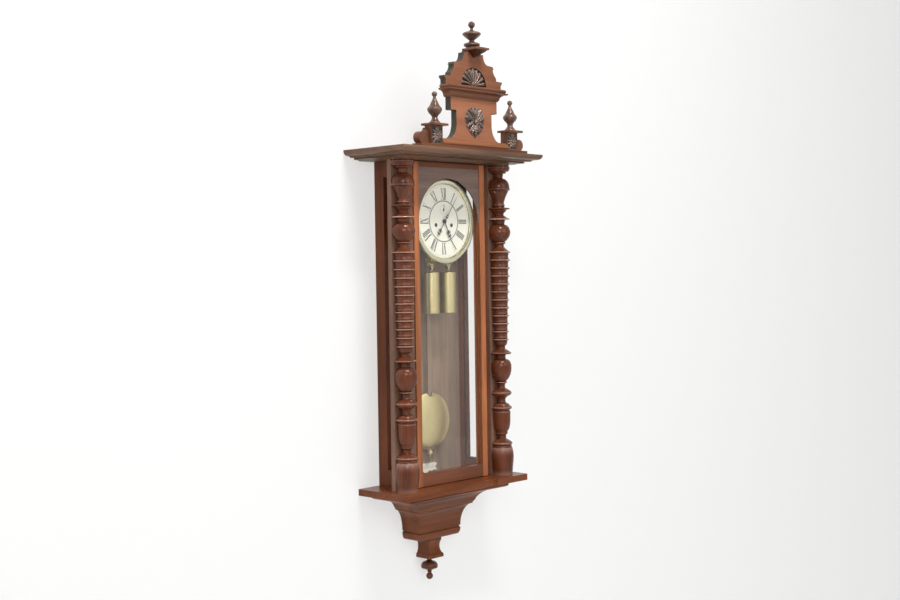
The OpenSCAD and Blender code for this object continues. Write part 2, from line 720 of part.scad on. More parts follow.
// Movement plates with their pillars, line posts and the stud of the motion work
plate_half = 56;
plate_low = -38;
plate_high = suspension_height + 8;
pillar_places = [for (x = [-50, 50], z = [plate_low + 6, plate_high - 6]) [x, z]];
post_x = weight_x + pulley_pitch_radius;
stud_radius = 1.2;
module plate(near) {
  box(-plate_half, plate_half, near, near + plate_thick, plate_low, plate_high);
}
module drilled(p, r) {
  rod_y(p[0], p[1], plate_outer - 1, front_plate_y + 1, r);
}
module movement_plates() {
  color([0.8, 0.66, 0.36]) hung() {
    difference() {
      union() {
        plate(plate_outer);
        plate(plate_inner);
      }
      for (p = [third_at, escape_at, pin_wheel_at, fly_at])
        drilled(p, pivot_radius + pivot_gap);
      for (p = [going_at, strike_at]) {
        drilled(p, pivot_radius + pivot_gap);
        rod_y(p[0], p[1], plate_inner - 1, front_plate_y + 1, square_radius + pivot_gap);
      }
      drilled(centre_at, pivot_radius + pivot_gap);
      rod_y(0, 0, plate_inner - 1, front_plate_y + 1, pipe_radius + pivot_gap);
      drilled(anchor_at, pivot_radius + pivot_gap);
      rod_y(0, suspension_height, plate_outer - 1, back_plate_y + 1, arbor_radius + pivot_gap);
    }
    for (p = pillar_places) rod_y(p[0], p[1], back_plate_y, plate_inner, 3.5);
    for (side = [-1, 1]) difference() {
      rod_y(side * post_x, line_top, back_plate_y, weight_y + 2, 1.5);
      translate([side * post_x, -weight_y, line_top - 3])
        cylinder(h = 3, r = line_radius, $fn = 12);
    }
    rod_y(motion_at[0], motion_at[1], front_plate_y, hour_layer + 1.6, stud_radius);
  }
}

// Bracket that carries the movement on the back board
module movement_bracket() {
  color([0.25, 0.24, 0.23]) hung() {
    box(-65, 65, back_thick, back_thick + 3, plate_low - 6, 55);
    for (side = [0, 1]) mirror([side, 0, 0]) for (z = [plate_low, 38])
      box(49, 55, back_thick + 3, plate_outer, z, z + 14);
  }
}

// Toothed outline: n teeth on a pitch circle of radius r, the first one at angle phase
function teeth(n, r, rise, fall, phase) =
  [for (i = [0:n - 1], k = [[-0.27, -fall], [-0.1, rise], [0.1, rise], [0.27, -fall]])
    let (a = phase + 360 * (i + k[0]) / n, q = r + k[1] * 2 * r / n) [q * cos(a), q * sin(a)]];

// Phase of a wheel at b that meshes with a wheel at a
function mesh(a, b, na, nb, pa = 0) = let (t = atan2(b[1] - a[1], b[0] - a[0]))
  t + 180 - 360 / nb * (0.5 - (t - pa) * na / 360);

// Pitch radius of the wheel at a, where its na teeth drive nb teeth at b
function pitch(a, b, na, nb) = norm(b - a) * na / (na + nb);

// Crossed wheel with five spokes
module wheel(at, near, thick, n, r, phase, hub = 4.5, rim = 1.8) {
  translate([at[0], 0, at[1]]) slab(near, near + thick) difference() {
    polygon(teeth(n, r, 0.8, 0.85, phase));
    difference() {
      circle(r = r - 1.7 * r / n - rim);
      circle(r = hub);
      for (a = [0:72:288]) rotate(a) translate([0, -0.9]) square([r, 1.8]);
    }
  }
}
module pinion(at, near, thick, n, r, phase) {
  translate([at[0], 0, at[1]]) slab(near, near + thick) polygon(teeth(n, r, 0.45, 1.1, phase));
}
module arbor(at, r = arbor_radius) {
  rod_y(at[0], at[1], back_plate_y + 0.3, plate_inner - 0.3, r);
  rod_y(at[0], at[1], plate_outer + 0.2, front_plate_y - 0.2, pivot_radius);
}
wheel_thick = 1.2;
pinion_thick = 2.2;

// Centre arbor with its wheel, pinion and the cannon that drives the motion work
centre_pitch = pitch(centre_at, third_at, 80, 8);
module centre_wheel() {
  color([0.82, 0.68, 0.36]) hung() {
    arbor(centre_at);
    rod_y(0, 0, plate_inner - 0.3, minute_hand_layer, pipe_radius);
    wheel(centre_at, centre_layer, wheel_thick, 80, centre_pitch, 0);
    pinion(centre_at, great_layer - 0.4, pinion_thick, 8,
      pitch(centre_at, going_at, 8, 96), mesh(going_at, centre_at, 96, 8));
    pinion(centre_at, motion_layer, wheel_thick - 0.2, 16,
      pitch(centre_at, motion_at, 16, 48), 0);
  }
}
module minute_wheel() {
  color([0.82, 0.68, 0.36]) hung() difference() {
    union() {
      wheel(motion_at, motion_layer, wheel_thick - 0.2, 48,
        pitch(motion_at, centre_at, 48, 16), mesh(centre_at, motion_at, 16, 48), 4);
      rod_y(motion_at[0], motion_at[1], motion_layer, hour_layer, 2.4);
      pinion(motion_at, hour_layer, wheel_thick, 12, pitch(motion_at, centre_at, 12, 48), 0);
    }
    rod_y(motion_at[0], motion_at[1], motion_layer - 1, hour_layer + 3, stud_radius + pipe_gap);
  }
}
module hour_wheel() {
  color([0.82, 0.68, 0.36]) hung() difference() {
    union() {
      wheel(centre_at, hour_layer, wheel_thick, 48,
        pitch(centre_at, motion_at, 48, 12), mesh(motion_at, centre_at, 12, 48));
      rod_y(0, 0, hour_layer, hour_hand_layer + hour_thick, 3.2);
    }
    rod_y(0, 0, hour_layer - 1, hour_hand_layer + 2, pipe_radius + pipe_gap);
  }
}
module third_wheel() {
  color([0.82, 0.68, 0.36]) hung() {
    arbor(third_at);
    wheel(third_at, third_layer, wheel_thick, 64, pitch(third_at, escape_at, 64, 8), 0);
    pinion(third_at, centre_layer - 0.5, pinion_thick, 8,
      pitch(third_at, centre_at, 8, 80), mesh(centre_at, third_at, 80, 8));
  }
}

// Dead beat escape wheel and its anchor, whose arbor lies in line with the suspension
escape_radius = 17;
escape_teeth = 30;
function escape_outline() = [for (i = [0:escape_teeth - 1], k = [[0, 0], [0.12, 0], [0.4, -3], [0.92, -3]])
  let (a = 90 - 360 * (i + k[0]) / escape_teeth, q = escape_radius + k[1]) [q * cos(a), q * sin(a)]];
module escape_wheel() {
  color([0.82, 0.68, 0.36]) hung() {
    arbor(escape_at);
    rod_y(escape_at[0], escape_at[1], front_plate_y - 0.3, seconds_layer, pivot_radius);
    translate([escape_at[0], 0, escape_at[1]]) slab(escape_layer, escape_layer + wheel_thick)
      difference() {
        polygon(escape_outline());
        difference() {
          circle(r = escape_radius - 5);
          circle(r = 4);
          for (a = [18:72:306]) rotate(a) translate([0, -0.8]) square([escape_radius - 4, 1.6]);
        }
      }
    pinion(escape_at, third_layer - 0.5, pinion_thick, 8,
      pitch(escape_at, third_at, 8, 64), mesh(third_at, escape_at, 64, 8));
  }
}
crutch_drop = 52;
crutch_near = pendulum_y + 6.5;
module anchor() {
  color([0.5, 0.5, 0.5]) hung() translate([0, 0, suspension_height]) {
    slab(escape_layer - 0.2, escape_layer + wheel_thick + 0.2) polygon(both([[2.5, 5.5],
      [8, 2], [13, -8], [18.5, -24], [22, -36], [20.6, -38.8], [17.8, -38.9],
      [17.6, -36.5], [15.5, -27], [10.5, -14], [5, -7], [3, -5]]));
    rod_y(0, 0, crutch_near - 0.5, plate_inner - 0.3, arbor_radius);
    rod_y(0, 0, plate_inner - 1, front_plate_y - 0.2, pivot_radius);
    slab(crutch_near, crutch_near + 1.5) polygon([[-3, 3], [3, 3], [1.5, -crutch_drop + 4],
      [rod_width / 2 + 1.7, -crutch_drop + 2], [rod_width / 2 + 1.7, -crutch_drop - 4],
      [-rod_width / 2 - 1.7, -crutch_drop - 4], [-rod_width / 2 - 1.7, -crutch_drop + 2],
      [-1.5, -crutch_drop + 4]]);
    for (side = [0, 1]) mirror([side, 0, 0])
      box(rod_width / 2 + 0.2, rod_width / 2 + 1.4, pendulum_y - 2, crutch_near,
        -crutch_drop - 4, -crutch_drop + 1);
  }
}

// Great wheels, each running free on the arbor of its drum
module great_wheel(at, to, n, phase) {
  color([0.82, 0.68, 0.36]) hung() difference() {
    union() {
      wheel(at, great_layer, wheel_thick + 0.2, n, pitch(at, to, n, 8), phase, 6.5);
      rod_y(at[0], at[1], great_layer - 0.3, great_layer + 2.2, 5);
    }
    rod_y(at[0], at[1], great_layer - 1, great_layer + 3, square_radius + pipe_gap);
  }
}
module going_great_wheel() {
  great_wheel(going_at, centre_at, 96, 0);
}
module strike_great_wheel() {
  great_wheel(strike_at, pin_wheel_at, 72, 0);
}

// Grooved drums with their winding squares
groove_count = 8;
drum_core = drum_pitch_radius - line_radius;
function drum_outline() = let (w = drum_far - drum_near) concat(
  [[0, 0], [9.5, 0], [9.5, 1]],
  [for (i = [0:groove_count - 1], k = [[0.45, 0], [0, 0.3], [0, 0.7], [0.45, 1]])
    [drum_core + k[0], 1 + (w - 2) * (i + k[1]) / groove_count]],
  [[9.5, w - 1], [9.5, w], [0, w]]);
module drum(at) {
  color([0.8, 0.64, 0.34]) hung() {
    translate([at[0], -drum_near, at[1]]) rotate([90, 0, 0]) rotate_extrude()
      polygon(drum_outline());
    rod_y(at[0], at[1], back_plate_y + 0.3, drum_near, arbor_radius);
    rod_y(at[0], at[1], drum_near, front_plate_y - 0.2, square_radius);
    rod_y(at[0], at[1], plate_outer + 0.2, back_plate_y + 0.3, pivot_radius);
    box(at[0] - 2, at[0] + 2, front_plate_y - 0.2, dial_face - 1, at[1] - 2, at[1] + 2);
  }
}
module going_drum() {
  drum(going_at);
}
module strike_drum() {
  drum(strike_at);
}

// Striking train: pin wheel and fly
module pin_wheel() {
  color([0.82, 0.68, 0.36]) hung() {
    arbor(pin_wheel_at);
    wheel(pin_wheel_at, third_layer, wheel_thick, 56, pitch(pin_wheel_at, fly_at, 56, 8), 0,
      4.5, 4.6);
    pinion(pin_wheel_at, great_layer - 0.4, pinion_thick, 8,
      pitch(pin_wheel_at, strike_at, 8, 72), mesh(strike_at, pin_wheel_at, 72, 8));
    for (a = [0:45:315]) rod_y(pin_wheel_at[0] + 11 * cos(a), pin_wheel_at[1] + 11 * sin(a),
      third_layer - 2.8, third_layer + wheel_thick, 0.6);
  }
}
module fly() {
  color([0.82, 0.68, 0.36]) hung() {
    arbor(fly_at, 1.2);
    pinion(fly_at, third_layer - 0.5, pinion_thick, 8,
      pitch(fly_at, pin_wheel_at, 8, 56), mesh(pin_wheel_at, fly_at, 56, 8));
    box(fly_at[0] - 10, fly_at[0] + 10, third_layer + 5, third_layer + 17,
      fly_at[1] - 0.3, fly_at[1] + 0.3);
  }
}

// Pierced hands: a tapered shank, a fretted scroll and a leaf shaped point
minute_angle = 36;
hour_angle = 153;
module scrolls(z, size) {
  difference() {
    union() {
      translate([0, z]) circle(r = size);
      for (side = [-1, 1]) {
        translate([side * size * 0.95, z - size * 1.2]) circle(r = size * 0.62);
        translate([side * size * 0.75, z + size * 1.15]) circle(r = size * 0.5);
      }
      translate([0, z - size * 1.8]) circle(r = size * 0.75);
    }
    translate([0, z]) circle(r = size * 0.6);
    for (side = [-1, 1]) {
      translate([side * size * 0.95, z - size * 1.2]) circle(r = size * 0.3);
      translate([side * size * 0.75, z + size * 1.15]) circle(r = size * 0.22);
    }
  }
}
module hand(near, thick, angle, reach, scroll_at, size, hub) {
  rod_y(0, 0, near, near + thick, hub);
  slab(near, near + thick) rotate(-angle) polygon([[-1.3, 0], [-0.7, scroll_at - 1.6 * size],
    [0.7, scroll_at - 1.6 * size], [1.3, 0]]);
  slab(near, near + thick) rotate(-angle) scrolls(scroll_at, size);
  slab(near, near + thick) rotate(-angle) polygon(both([[0.8, scroll_at + 0.9 * size],
    [0.28 * size, scroll_at + 0.4 * (reach - scroll_at)], [0.1, reach]]));
}
minute_thick = 0.7;
hour_thick = 0.8;
module minute_hand() {
  color([0.08, 0.08, 0.09]) hung() {
    hand(minute_hand_layer, minute_thick, minute_angle, chapter_outer - 3, 15, 2.6, 5);
    hand(minute_hand_layer, minute_thick, minute_angle + 180, 46, 33, 3.8, 5);
    rod_y(0, 0, minute_hand_layer + minute_thick, minute_hand_layer + 2.3, 2.6);
  }
}
module hour_hand() {
  color([0.08, 0.08, 0.09]) hung() difference() {
    hand(hour_hand_layer, hour_thick, hour_angle, chapter_inner + 3, 35, 4.2, 5.4);
    rod_y(0, 0, hour_hand_layer - 1, hour_hand_layer + 2, 3.2);
  }
}
module seconds_hand() {
  color([0.08, 0.08, 0.09]) hung() {
    rod_y(escape_at[0], escape_at[1], seconds_layer, seconds_layer + 0.6, 1.8);
    translate([escape_at[0], 0, escape_at[1]]) slab(seconds_layer, seconds_layer + 0.6)
      polygon([[-0.9, -6], [-0.7, 0], [-0.25, seconds_radius - 1.5],
        [0.25, seconds_radius - 1.5], [0.7, 0], [0.9, -6]]);
  }
}

// Suspension bracket with a slot for the spring of the pendulum
slot_half = 0.4;
spring_half = 0.1;
module suspension_bracket() {
  color([0.72, 0.58, 0.32]) hung() difference() {
    union() {
      box(-14, 14, back_thick, back_thick + 3, suspension_height - 8, suspension_height + 22);
      box(-6, 6, back_thick + 3, pendulum_y + 4, suspension_height - 2, suspension_height + 14);
    }
    box(-slot_half, slot_half, pendulum_y - 5, pendulum_y + 5,
      suspension_height - 3, suspension_height + 15);
  }
}

// Pendulum: a wooden rod, and the brass pieces on it
rod_depth = 6;
rod_top = suspension_height - 22;
rod_low = bob_z - bob_radius - 2;
module pendulum_rod() {
  color([0.3, 0.16, 0.1]) hung() box(-rod_width / 2, rod_width / 2,
    pendulum_y - rod_depth / 2, pendulum_y + rod_depth / 2, rod_low, rod_top);
}
module pendulum_bob() {
  color([0.85, 0.72, 0.42]) hung() {
    difference() {
      translate([0, -pendulum_y, bob_z]) rotate([90, 0, 0]) rotate_extrude($fn = 96)
        polygon(concat([[0, -bob_thick / 2]],
          arc(0, 0, bob_radius - 1, bob_thick / 2, -84, -12, 9),
          [[bob_radius, -1.2], [bob_radius, 1.2]],
          arc(0, 0, bob_radius - 1, bob_thick / 2, 12, 84, 9), [[0, bob_thick / 2]]));
      box(-rod_width / 2, rod_width / 2, pendulum_y - rod_depth / 2, pendulum_y + rod_depth / 2,
        rod_low, rod_top);
      slab(pendulum_y - bob_thick, pendulum_y + bob_thick)
        polygon([[-10, bob_z + bob_radius + 1], [10, bob_z + bob_radius + 1],
          [rod_width / 2, bob_z + bob_radius - 10], [-rod_width / 2, bob_z + bob_radius - 10]]);
    }
    translate([0, -pendulum_y, rod_low - 24]) rotate_extrude()
      polygon([[0, 0], [1, 3], [1.8, 12], [1.8, 15], [6, 15], [6.6, 16], [6.6, 22],
        [6, 23], [3, 24], [0, 24]]);
    box(-rod_width / 2 - 0.6, rod_width / 2 + 0.6, pendulum_y - 4, pendulum_y + 4,
      rod_top, rod_top + 5);
    box(-3, 3, pendulum_y - 4, pendulum_y + 4, rod_top + 5, rod_top + 14);
    box(-spring_half, spring_half, pendulum_y - 4, pendulum_y + 4, rod_top + 14,
      suspension_height + 4);
  }
}

// Weights with their stirrups, pulleys and lines
axle_radius = 1.5;
flange_radius = pulley_pitch_radius + 2.9;
pulley_half = 2.8;
cheek_gap = 0.6;
cheek_thick = 1;
heart = [[1.5, 4.5], [4.5, 8], [8.6, 8.8], [12.4, 6.6], [13.8, 2.4], [12.8, -3], [9.4, -9],
  [4.6, -16], [2.4, -20], [2, -24]];
heart_window = [[2.8, 3], [5.4, 6.2], [8.4, 6.9], [11, 5.3], [11.9, 2.2], [11, -2.6],
  [7.9, -8], [4, -13.6], [1, -16.4], [1, -3.2], [2.8, -1.6]];
module weight() {
  translate([weight_x, 0, 0]) {
    translate([0, -weight_y, -weight_drop - weight_length]) rotate_extrude()
      polygon([[0, 0], [weight_radius - 1.2, 0], [weight_radius, 1.2],
        [weight_radius, weight_length - 1.2], [weight_radius - 1.2, weight_length], [0, weight_length]]);
    intersection() {
      slab(weight_y - pulley_half - cheek_gap - cheek_thick,
        weight_y + pulley_half + cheek_gap + cheek_thick)
        polygon(both([for (p = heart) [p[0], pulley_z + p[1]]]));
      difference() {
        box(-20, 20, weight_y - 10, weight_y + 10, pulley_z - 30, pulley_z + 20);
        for (side = [0, 1]) mirror([side, 0, 0]) slab(weight_y - 10, weight_y + 10)
          polygon([for (p = heart_window) [p[0], pulley_z + p[1]]]);
        box(-20, 20, weight_y - pulley_half - cheek_gap, weight_y + pulley_half + cheek_gap,
          pulley_z - flange_radius - 1, pulley_z + 20);
      }
    }
    rod_y(0, pulley_z, weight_y - pulley_half - cheek_gap - cheek_thick,
      weight_y + pulley_half + cheek_gap + cheek_thick, axle_radius);
    translate([0, -weight_y, -weight_drop]) cylinder(h = pulley_z - 23 + weight_drop, r = 1.5);
    translate([0, -weight_y, -weight_drop]) cylinder(h = 2.5, r1 = 6, r2 = 3);
  }
}
module pulley() {
  translate([weight_x, 0, pulley_z]) difference() {
    translate([0, -weight_y, 0]) rotate([90, 0, 0]) rotate_extrude()
      polygon(both_ways([[axle_radius + pipe_gap, pulley_half], [4, pulley_half],
        [4, pulley_half - 0.8], [flange_radius - 2.4, pulley_half - 0.8],
        [flange_radius - 2, pulley_half], [flange_radius, pulley_half],
        [flange_radius, 1.6], [pulley_pitch_radius - line_radius, 0.7]]));
    for (a = [0:72:288]) rod_y(6.1 * cos(a), 6.1 * sin(a), weight_y - 5, weight_y + 5, 1.7);
  }
}
function both_ways(p) = concat(p, [for (i = [len(p) - 1:-1:0]) [p[i][0], -p[i][1]]]);
module line_runs() {
  for (x = [weight_x - pulley_pitch_radius, post_x])
    translate([x, -weight_y, pulley_z]) cylinder(h = line_top - pulley_z, r = line_radius, $fn = 12);
}
module line_loop() {
  intersection() {
    translate([weight_x, -weight_y, pulley_z]) rotate([90, 0, 0]) rotate_extrude()
      translate([pulley_pitch_radius, 0]) circle(r = line_radius, $fn = 12);
    box(weight_x - 15, weight_x + 15, weight_y - 3, weight_y + 3, pulley_z - 15, pulley_z);
  }
}
module going_weight() {
  color([0.85, 0.72, 0.42]) hung() weight();
}
module strike_weight() {
  mirror([1, 0, 0]) going_weight();
}
module going_pulley() {
  color([0.85, 0.72, 0.42]) hung() pulley();
}
module strike_pulley() {
  mirror([1, 0, 0]) going_pulley();
}
module going_line() {
  color([0.6, 0.5, 0.35]) hung() line_runs();
}
module strike_line() {
  mirror([1, 0, 0]) going_line();
}
module going_loop() {
  color([0.6, 0.5, 0.35]) hung() line_loop();
}
module strike_loop() {
  mirror([1, 0, 0]) going_loop();
}

back_board();
left_side_frame();
right_side_frame();
side_panes();
case_floor();
front_boards();
cornice();
base_shelf();
base_corbel();
base_block();
drop_finial();
left_column();
right_column();
crest_board();
crest_head();
crest_moulding();
crest_base();
crest_cap();
crest_finial();
corner_plinths();
corner_finials();
shell_carving();
leaf_carving();
wall_hanger();
beat_scale();
case_hinges();
movement_bracket();
suspension_bracket();
movement_plates();
dial();
bezel();
door_frame();
door_spandrel();
door_glass();
door_hinges();
minute_hand();
centre_wheel();
hour_hand();
hour_wheel();
minute_wheel();
third_wheel();
escape_wheel();
seconds_hand();
anchor();
going_great_wheel();
going_drum();
strike_great_wheel();
strike_drum();
pin_wheel();
fly();
pendulum_rod();
pendulum_bob();
going_weight();
going_pulley();
going_line();
going_loop();
strike_weight();
strike_pulley();
strike_line();
strike_loop();
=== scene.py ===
"""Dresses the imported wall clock: polished wood, carved crest, brass movement and enamel dial."""

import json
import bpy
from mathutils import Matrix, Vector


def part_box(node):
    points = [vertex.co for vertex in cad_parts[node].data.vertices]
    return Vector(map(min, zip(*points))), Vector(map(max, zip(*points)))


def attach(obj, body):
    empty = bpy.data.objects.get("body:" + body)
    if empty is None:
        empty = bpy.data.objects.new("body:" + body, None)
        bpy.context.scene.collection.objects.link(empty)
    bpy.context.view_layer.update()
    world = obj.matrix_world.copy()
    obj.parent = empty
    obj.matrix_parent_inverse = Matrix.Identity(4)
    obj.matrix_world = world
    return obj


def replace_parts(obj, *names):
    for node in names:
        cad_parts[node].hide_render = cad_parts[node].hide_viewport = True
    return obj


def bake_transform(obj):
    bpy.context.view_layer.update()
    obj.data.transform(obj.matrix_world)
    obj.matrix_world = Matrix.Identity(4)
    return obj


bl_info = {
    "name": "Regulator Wall Clock",
    "version": (1, 0, 0),
    "blender": (4, 5, 0),
    "location": "View3D > Sidebar > Clock",
    "description": "Builds the visible pieces of a glazed regulator wall clock around its packed frame",
    "category": "Object",
}

from math import cos, hypot, pi, radians, sin

import bmesh
import bpy
import numpy as np
from mathutils import Matrix, Vector

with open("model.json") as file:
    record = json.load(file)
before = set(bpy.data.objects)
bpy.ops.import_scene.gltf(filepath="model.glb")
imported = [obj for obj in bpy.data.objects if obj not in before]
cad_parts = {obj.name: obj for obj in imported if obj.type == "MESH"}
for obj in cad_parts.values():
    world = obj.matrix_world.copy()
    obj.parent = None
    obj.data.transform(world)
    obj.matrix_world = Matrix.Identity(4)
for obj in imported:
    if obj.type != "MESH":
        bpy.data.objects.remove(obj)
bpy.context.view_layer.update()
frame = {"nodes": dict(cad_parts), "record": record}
BODIES = {node: body for body, nodes in frame["record"]["behaviour"]["bodies"].items() for node in nodes}
SIDES = ((-1, "left"), (1, "right"))

MM = 0.001
HANG = 0.120  # height of the hanging hole above the dial centre

# Millimetres, with heights from the dial centre and depths from the wall
SIGHT_HALF = 106.3  # half width of the door opening
SIGHT_LOW = -601.5
SIGHT_HIGH = 127.9
DOOR_FRONT = 110.0
BEAD_RADIUS = 2.3
BEAD_SUNK = 2.2  # the bead is let into the door, so that it clears the right column when the door is open
STUD = (-20.0, 141.0)  # across and height
STUD_RADIUS = 1.5
DIAL_FACE = 87.0
INK_THICK = 0.05
SECONDS_Z = 28.6
SECONDS_RADIUS = 11.4
WINDING_X = 27
WINDING_Z = -9.3
EYELET = ((3.0, 85.3), (3.9, 85.3), (3.9, 87.3), (4.1, 87.45), (4.6, 87.4), (4.8, 87.0))  # radius, depth
PIVOT_Z = 74  # pivot of the pendulum, the middle of the beat scale's arc
BEAT_FACE = 14.0
BEAT_STEP = 0.45  # degrees between two ticks
CREST_BASE = 172.0
CREST_FRONT = 194.0
LEAF_Z = CREST_BASE + 60
FAN_Z = CREST_BASE + 144
PANEL_X = 132
PANEL_Z = CREST_BASE + 21

# Metres in the row frame
COLUMN_AXIS = (0.168, -0.1189)
COLUMN_BACK = -0.094  # the columns and the boards behind them end here
BOARD_FRONT = -0.107
BOARD_INSIDE = {"left": 0.1245, "right": 0.1415}
BOARD_OUTSIDE = 0.1945
CREST_FINIAL_AXIS = (0, -0.189)
CORNER_FINIAL_AXIS = (0.132, -0.191)
DROP_AXIS = (0, -0.0216)
CAP_PLATE = 0.0052  # height of the plate on the crest's cap

# Turnings: sides, longest step along the profile in metres, and degrees of turn that stay a corner
TURN_SIDES = 80
TURN_STEP = 0.0011
TURN_CORNER = 72


def row(x, out, z):
    """Place given in millimetres from the dial centre and the wall, in the row frame."""
    return Vector((x * MM, -out * MM, z * MM - HANG))


# Settings

def colour(name, text, default):
    return bpy.props.FloatVectorProperty(
        name=name, description=text, subtype="COLOR", size=3, min=0, max=1, default=default)


def length(name, text, default):
    return bpy.props.FloatProperty(name=name, description=text, default=default, unit="LENGTH")


class ClockWood(bpy.types.PropertyGroup):
    # The first colour is painted shade, laid on the crest boards' faces that do not look forward or back
    crest_edge: colour("Crest edge", "Weathered sawn edges of the crest boards", (0.062, 0.056, 0.042))
    # On the door beads this amber is a painted highlight along their lit rounded faces; on the crest it tints
    # the bead
    bead_light: colour("Bead", "Amber varnish of the beads on the crest and the door", (0.360, 0.130, 0.038))
    # The next colour is a painted highlight, laid pale on upper ridges and ring tips
    worn: colour("Ridge highlight", "Painted highlight on the upper edges and ring tips", (0.560, 0.360, 0.290))
    edge_round: length("Edge rounding", "Radius of the eased edges of the boards", 0.0006)


# Dark and light streaks of each wood
STREAKS = {
    "case": ("the polished case wood", (0.118, 0.034, 0.011), (0.232, 0.070, 0.025)),
    "stile": ("the door stiles and corner boards", (0.270, 0.095, 0.040), (0.560, 0.195, 0.080)),
    "rail": ("the door rails", (0.145, 0.054, 0.029), (0.225, 0.082, 0.043)),
    # The spandrel's grey cast is a painted reflection laid over the wood's tone
    "arch": ("the arched spandrel", (0.162, 0.110, 0.090), (0.262, 0.180, 0.150)),
    "turned": ("the turned pieces", (0.062, 0.016, 0.007), (0.170, 0.048, 0.019)),
    # The cornice's grey cast is partly its own tone and partly a painted reflection
    "cornice": ("the cornice", (0.100, 0.058, 0.036), (0.215, 0.118, 0.073)),
    "post": ("the boards behind the columns", (0.132, 0.070, 0.046), (0.245, 0.132, 0.092)),
    "finial": ("the crest finials", (0.055, 0.027, 0.018), (0.150, 0.080, 0.052)),
    "crest": ("the crest boards", (0.240, 0.092, 0.050), (0.360, 0.148, 0.080)),
    "carving": ("the carvings", (0.012, 0.006, 0.004), (0.130, 0.078, 0.048)),
    # The back board, case floor and pendulum rod are lightened beyond their own tone as a painted reflection
    # of the door glass
    "inner": ("the back board", (0.200, 0.142, 0.100), (0.380, 0.270, 0.195)),
}
for kind, (what, *tints) in STREAKS.items():
    for depth, tint in zip(("dark", "light"), tints):
        ClockWood.__annotations__[f"{kind}_{depth}"] = colour(
            f"{kind.title()} {depth}", f"{depth.title()} streaks of {what}", tint)


class ClockMetal(bpy.types.PropertyGroup):
    brass: colour("Brass", "Polished brass of the movement, bob and weights", (0.68, 0.575, 0.30))
    bezel: colour("Bezel", "Pale lacquered brass of the bezel", (0.60, 0.57, 0.40))
    steel: colour("Steel", "Steel arbors and brackets", (0.42, 0.42, 0.43))
    hand: colour("Hands", "Blackened steel of the hands", (0.030, 0.030, 0.032))
    cord: colour("Line", "Gut line of the weights", (0.36, 0.27, 0.15))


class ClockDial(bpy.types.PropertyGroup):
    enamel: colour("Enamel", "Ivory enamel of the dial", (0.86, 0.83, 0.71))
    ink: colour("Ink", "Fired black of the numerals", (0.035, 0.036, 0.035))
    numeral_low: length("Numeral foot", "Radius of the inner end of the numerals", 0.0530)
    numeral_high: length("Numeral head", "Radius of the outer end of the numerals", 0.0800)
    track_low: length("Minute track inside", "Radius of the inner circle of the minute track", 0.0840)
    track_high: length("Minute track outside", "Radius of the outer circle of the minute track", 0.0872)
    ring_low: length("Chapter circle inside", "Inner radius of the grey chapter circle", 0.0480)
    ring_high: length("Chapter circle outside", "Outer radius of the grey chapter circle", 0.0508)
    pale_ink: colour("Pale ink", "Grey of the chapter circle and the minute track", (0.15, 0.155, 0.135))


class ClockStage(bpy.types.PropertyGroup):
    wall: colour("Wall", "Painted wall behind the clock", (0.90, 0.90, 0.89))
    floor: colour("Floor", "Pale floor below the clock", (0.86, 0.86, 0.85))
    azimuth: bpy.props.FloatProperty(
        name="Azimuth", description="Turn of the camera to the viewer's left of the front",
        default=radians(46.49), subtype="ANGLE")
    tilt: bpy.props.FloatProperty(
        name="Tilt", description="Upward tilt of the camera", default=radians(-1.41), subtype="ANGLE")
    roll: bpy.props.FloatProperty(
        name="Roll", description="Roll of the camera", default=radians(-0.86), subtype="ANGLE")
    lens: bpy.props.FloatProperty(
        name="Lens", description="Focal length in millimetres", default=53.08)
    place: bpy.props.FloatVectorProperty(
        name="Camera place", description="Camera position in the row frame", subtype="XYZ", unit="LENGTH",
        size=3, default=(-2.33061, -2.31789, -0.23187))


def settings(kind):
    return getattr(bpy.context.scene, "clock_" + kind)


# Shader tools

def feed(tree, socket, value):
    """Links a socket or sets its value; a colour may be given without its alpha."""
    if hasattr(value, "is_linked"):
        tree.links.new(value, socket)
    elif socket.type == "RGBA" and len(value) == 3:
        socket.default_value = (*value, 1)
    else:
        socket.default_value = value


def join(tree, node, **inputs):
    """Feeds the sockets of a node by name, where a low line stands for a blank."""
    for key, value in inputs.items():
        feed(tree, node.inputs[key.replace("_", " ")], value)
    return node


def add(tree, kind, **inputs):
    """New node on a free place of the tree, with its sockets fed."""
    made = tree.nodes.new("ShaderNode" + kind)
    count = len(tree.nodes)
    made.location = (240 * (count % 8), -300 * (count // 8))
    return join(tree, made, **inputs)


def math_node(tree, operation, first, second, clamp=False):
    made = add(tree, "Math")
    made.operation = operation
    made.use_clamp = clamp
    for socket, value in zip(made.inputs, (first, second)):
        feed(tree, socket, value)
    return made.outputs[0]


def plus(tree, first, second):
    return math_node(tree, "ADD", first, second)


def minus(tree, first, second):
    return math_node(tree, "SUBTRACT", first, second)


def times(tree, first, second):
    return math_node(tree, "MULTIPLY", first, second)


def larger(tree, first, second):
    return math_node(tree, "MAXIMUM", first, second)


def size_of(tree, value):
    return math_node(tree, "ABSOLUTE", value, 0)


def mix_colour(tree, factor, first, second, blend="MIX"):
    made = add(tree, "Mix")
    made.data_type = "RGBA"
    made.blend_type = blend
    for index, value in ((0, factor), (6, first), (7, second)):
        feed(tree, made.inputs[index], value)
    return made.outputs[2]


def mix_shader(tree, factor, first, second):
    made = add(tree, "MixShader")
    for socket, value in zip(made.inputs, (factor, first, second)):
        feed(tree, socket, value)
    return made.outputs[0]


def show(tree, shader):
    """Makes a shader the surface of its material."""
    join(tree, tree.nodes["Material Output"], Surface=shader)


def ramp(tree, value, low, high):
    """Value spread from nought at low to one at high."""
    return add(tree, "MapRange", Value=value, From_Min=low, From_Max=high).outputs["Result"]


def step_at(tree, value, place, soft):
    """Nought below a place and one above it."""
    return ramp(tree, value, place - soft, place + soft)


